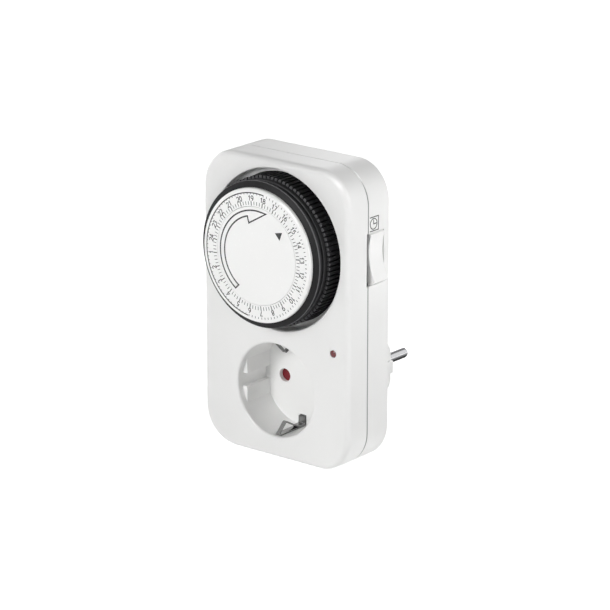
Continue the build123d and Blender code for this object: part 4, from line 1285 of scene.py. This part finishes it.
@dataclass(frozen=True)
class Flag:
    """A square dark card that only reflections see, so that metal gets darker edges.

    Attributes:
        name: the card's name.
        middle: its middle, in millimetres.
        half: half its side, in millimetres.
        facing: azimuth and elevation that it faces.
        glow: how bright it looks in a reflection; one is white.
    """

    name: str
    middle: Triple
    half: float
    facing: Pair
    glow: float

    def build(self) -> None:
        """Place the card and hide it from every ray but the glossy ones."""
        card, tree = square(self.name, self.half * METRE)
        add = partial(add_node, tree)
        card_light = add("ShaderNodeEmission", {"Strength": self.glow})
        add("ShaderNodeOutputMaterial", links={"Surface": card_light[0]})
        aim(card, Vector(self.middle) * METRE, direction(self.facing))
        for rays in ("camera", "diffuse", "shadow", "transmission"):
            setattr(card, f"visible_{rays}", False)
        card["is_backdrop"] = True


@dataclass
class Studio:
    """Camera, lights, world and floor.

    Attributes:
        target: point in the middle of the picture, in millimetres.
        towards: the camera's azimuth and elevation.
        distance: from the target to the camera, in millimetres.
        lens: focal length.
        sensor: width of the sensor.
        clip: nearest and farthest distance that the camera sees, in metres.
        ambient: brightness of the world for surfaces that it lights.
        floor_lift: light added to the near floor for the camera alone.
        floor_fade: distances, in metres, between which that light rises to one.
        floor_size: half the floor's side, in metres.
        floor_colour: the floor's own colour, sRGB hex.
        boxes: the lights.
        flags: the cards for reflections.
    """

    target: Triple = (15.52, -54.5, 39.10)
    towards: Pair = (39.146, 17.239)
    distance: float = 1291.9
    lens: float = 192.57
    sensor: float = 36.0
    clip: Pair = (0.05, 50.0)
    ambient: float = 0.05
    floor_lift: float = 0.75
    floor_fade: Pair = (0.3, 0.8)
    floor_size: float = 4.0
    floor_colour: str = "#F2F2F2"
    boxes: Sequence[SoftBox] = (
        SoftBox("key_box", (-8.0, 22.0), distance=1.0, size=0.36, level=0.57),
        SoftBox("low_box", (32.0, -4.0), distance=0.45, size=0.06, level=0.09),
        SoftBox("side_box", (112.0, 23.0), distance=0.45, size=0.26, level=0.63),
        SoftBox("rear_box", (200.0, 8.0), distance=1.3, size=0.9, level=0.34),
        SoftBox("left_box", (-100.0, 6.0), distance=1.3, size=0.9, level=0.36),
        SoftBox("gleam_box", (25.0, 47.0), distance=0.9, size=0.35, level=0.8, gleam=True),
    )
    flags: Sequence[Flag] = (
        Flag("flag_above_pins", (23.0, 379.0, 315.0), half=130.0, facing=(-2.0, -39.0), glow=0.22),
        Flag("flag_under_near", (5.0, 32.0, -26.4), half=26.0, facing=(0.0, 90.0), glow=0.06),
        Flag("flag_under_middle", (25.0, 45.0, -26.8), half=45.0, facing=(0.0, 90.0), glow=0.28),
        Flag("flag_under_far", (50.0, 65.0, -27.2), half=85.0, facing=(0.0, 90.0), glow=0.62),
    )

    def camera(self) -> None:
        """Make the camera and point it at the target."""
        view = bpy.data.cameras.new("product_camera")
        view.lens = self.lens
        view.sensor_width = self.sensor
        view.clip_start, view.clip_end = self.clip
        camera = shown("product_camera", view)
        away = direction(self.towards)
        aim(camera, (Vector(self.target) + away * self.distance) * METRE, away)
        bpy.context.scene.camera = camera

    def seen(self, tree: NodeTree) -> NodeSocket:
        """Tell the rays that show the background from the others.

        Args:
            tree: nodes of the world or of a material.

        Returns:
            One for camera, glossy and transmission rays, and zero for the others.
        """
        add = partial(add_node, tree)
        path = add("ShaderNodeLightPath")
        share = path["Is Camera Ray"]
        for ray in ("Is Glossy Ray", "Is Transmission Ray"):
            larger = add("ShaderNodeMath", links={0: share, 1: path[ray]}, operation="MAXIMUM")
            share = larger[0]
        return share

    def world(self) -> None:
        """Make a white background that lights surfaces at the ambient level."""
        world = bpy.data.worlds.new("white_room")
        world.use_nodes = True
        tree = world.node_tree
        tree.nodes.clear()
        add = partial(add_node, tree)
        room = add("ShaderNodeBackground", {"Color": WHITE, "Strength": self.ambient})
        white = add("ShaderNodeBackground", {"Color": WHITE, "Strength": 1.0})
        mix = add("ShaderNodeMixShader", links={0: self.seen(tree), 1: room[0], 2: white[0]})
        add("ShaderNodeOutputWorld", links={"Surface": mix[0]})
        bpy.context.scene.world = world

    def floor(self) -> None:
        """Lay the floor under the timer.

        Rays that show the background also see a light in it. Its strength rises evenly
        with the distance, from floor_lift at the first distance of floor_fade to one at
        the second, because the lamps leave the far floor dim.
        """
        low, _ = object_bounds()
        floor, tree = square("studio_floor", self.floor_size, low.z)
        add = partial(add_node, tree)
        paint = add("ShaderNodeBsdfDiffuse", {"Color": linear(self.floor_colour)})
        place = add("ShaderNodeTexCoord")
        away = add("ShaderNodeVectorMath", links={0: place["Object"]}, operation="LENGTH")
        near, far = self.floor_fade
        strength = add(
            "ShaderNodeMapRange",
            {"From Min": near, "From Max": far, "To Min": self.floor_lift, "To Max": 1.0},
            {"Value": away["Value"]},
        )
        lift = add("ShaderNodeEmission", {"Color": WHITE}, {"Strength": strength["Result"]})
        both = add("ShaderNodeAddShader", links={0: paint[0], 1: lift[0]})
        mix = add("ShaderNodeMixShader", links={0: self.seen(tree), 1: paint[0], 2: both[0]})
        add("ShaderNodeOutputMaterial", links={"Surface": mix[0]})
        floor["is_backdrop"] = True

    def build(self) -> None:
        """Set up the whole studio."""
        self.camera()
        self.world()
        for box in self.boxes:
            box.build(Vector(self.target) * METRE)
        for flag in self.flags:
            flag.build()
        self.floor()
        bpy.context.scene.view_settings.view_transform = "Standard"
        log.info("studio: camera, %d lights, world and floor", len(self.boxes))


def main() -> None:
    """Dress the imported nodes, add the finer pieces and set up the studio."""
    logging.basicConfig(level=logging.INFO, format="%(message)s")
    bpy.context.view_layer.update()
    dress_nodes()
    EarthSpring().build()
    LampLens().build()
    DialPrint().build()
    TimerSymbol().build()
    Studio().build()


if __name__ == "__main__":
    main()
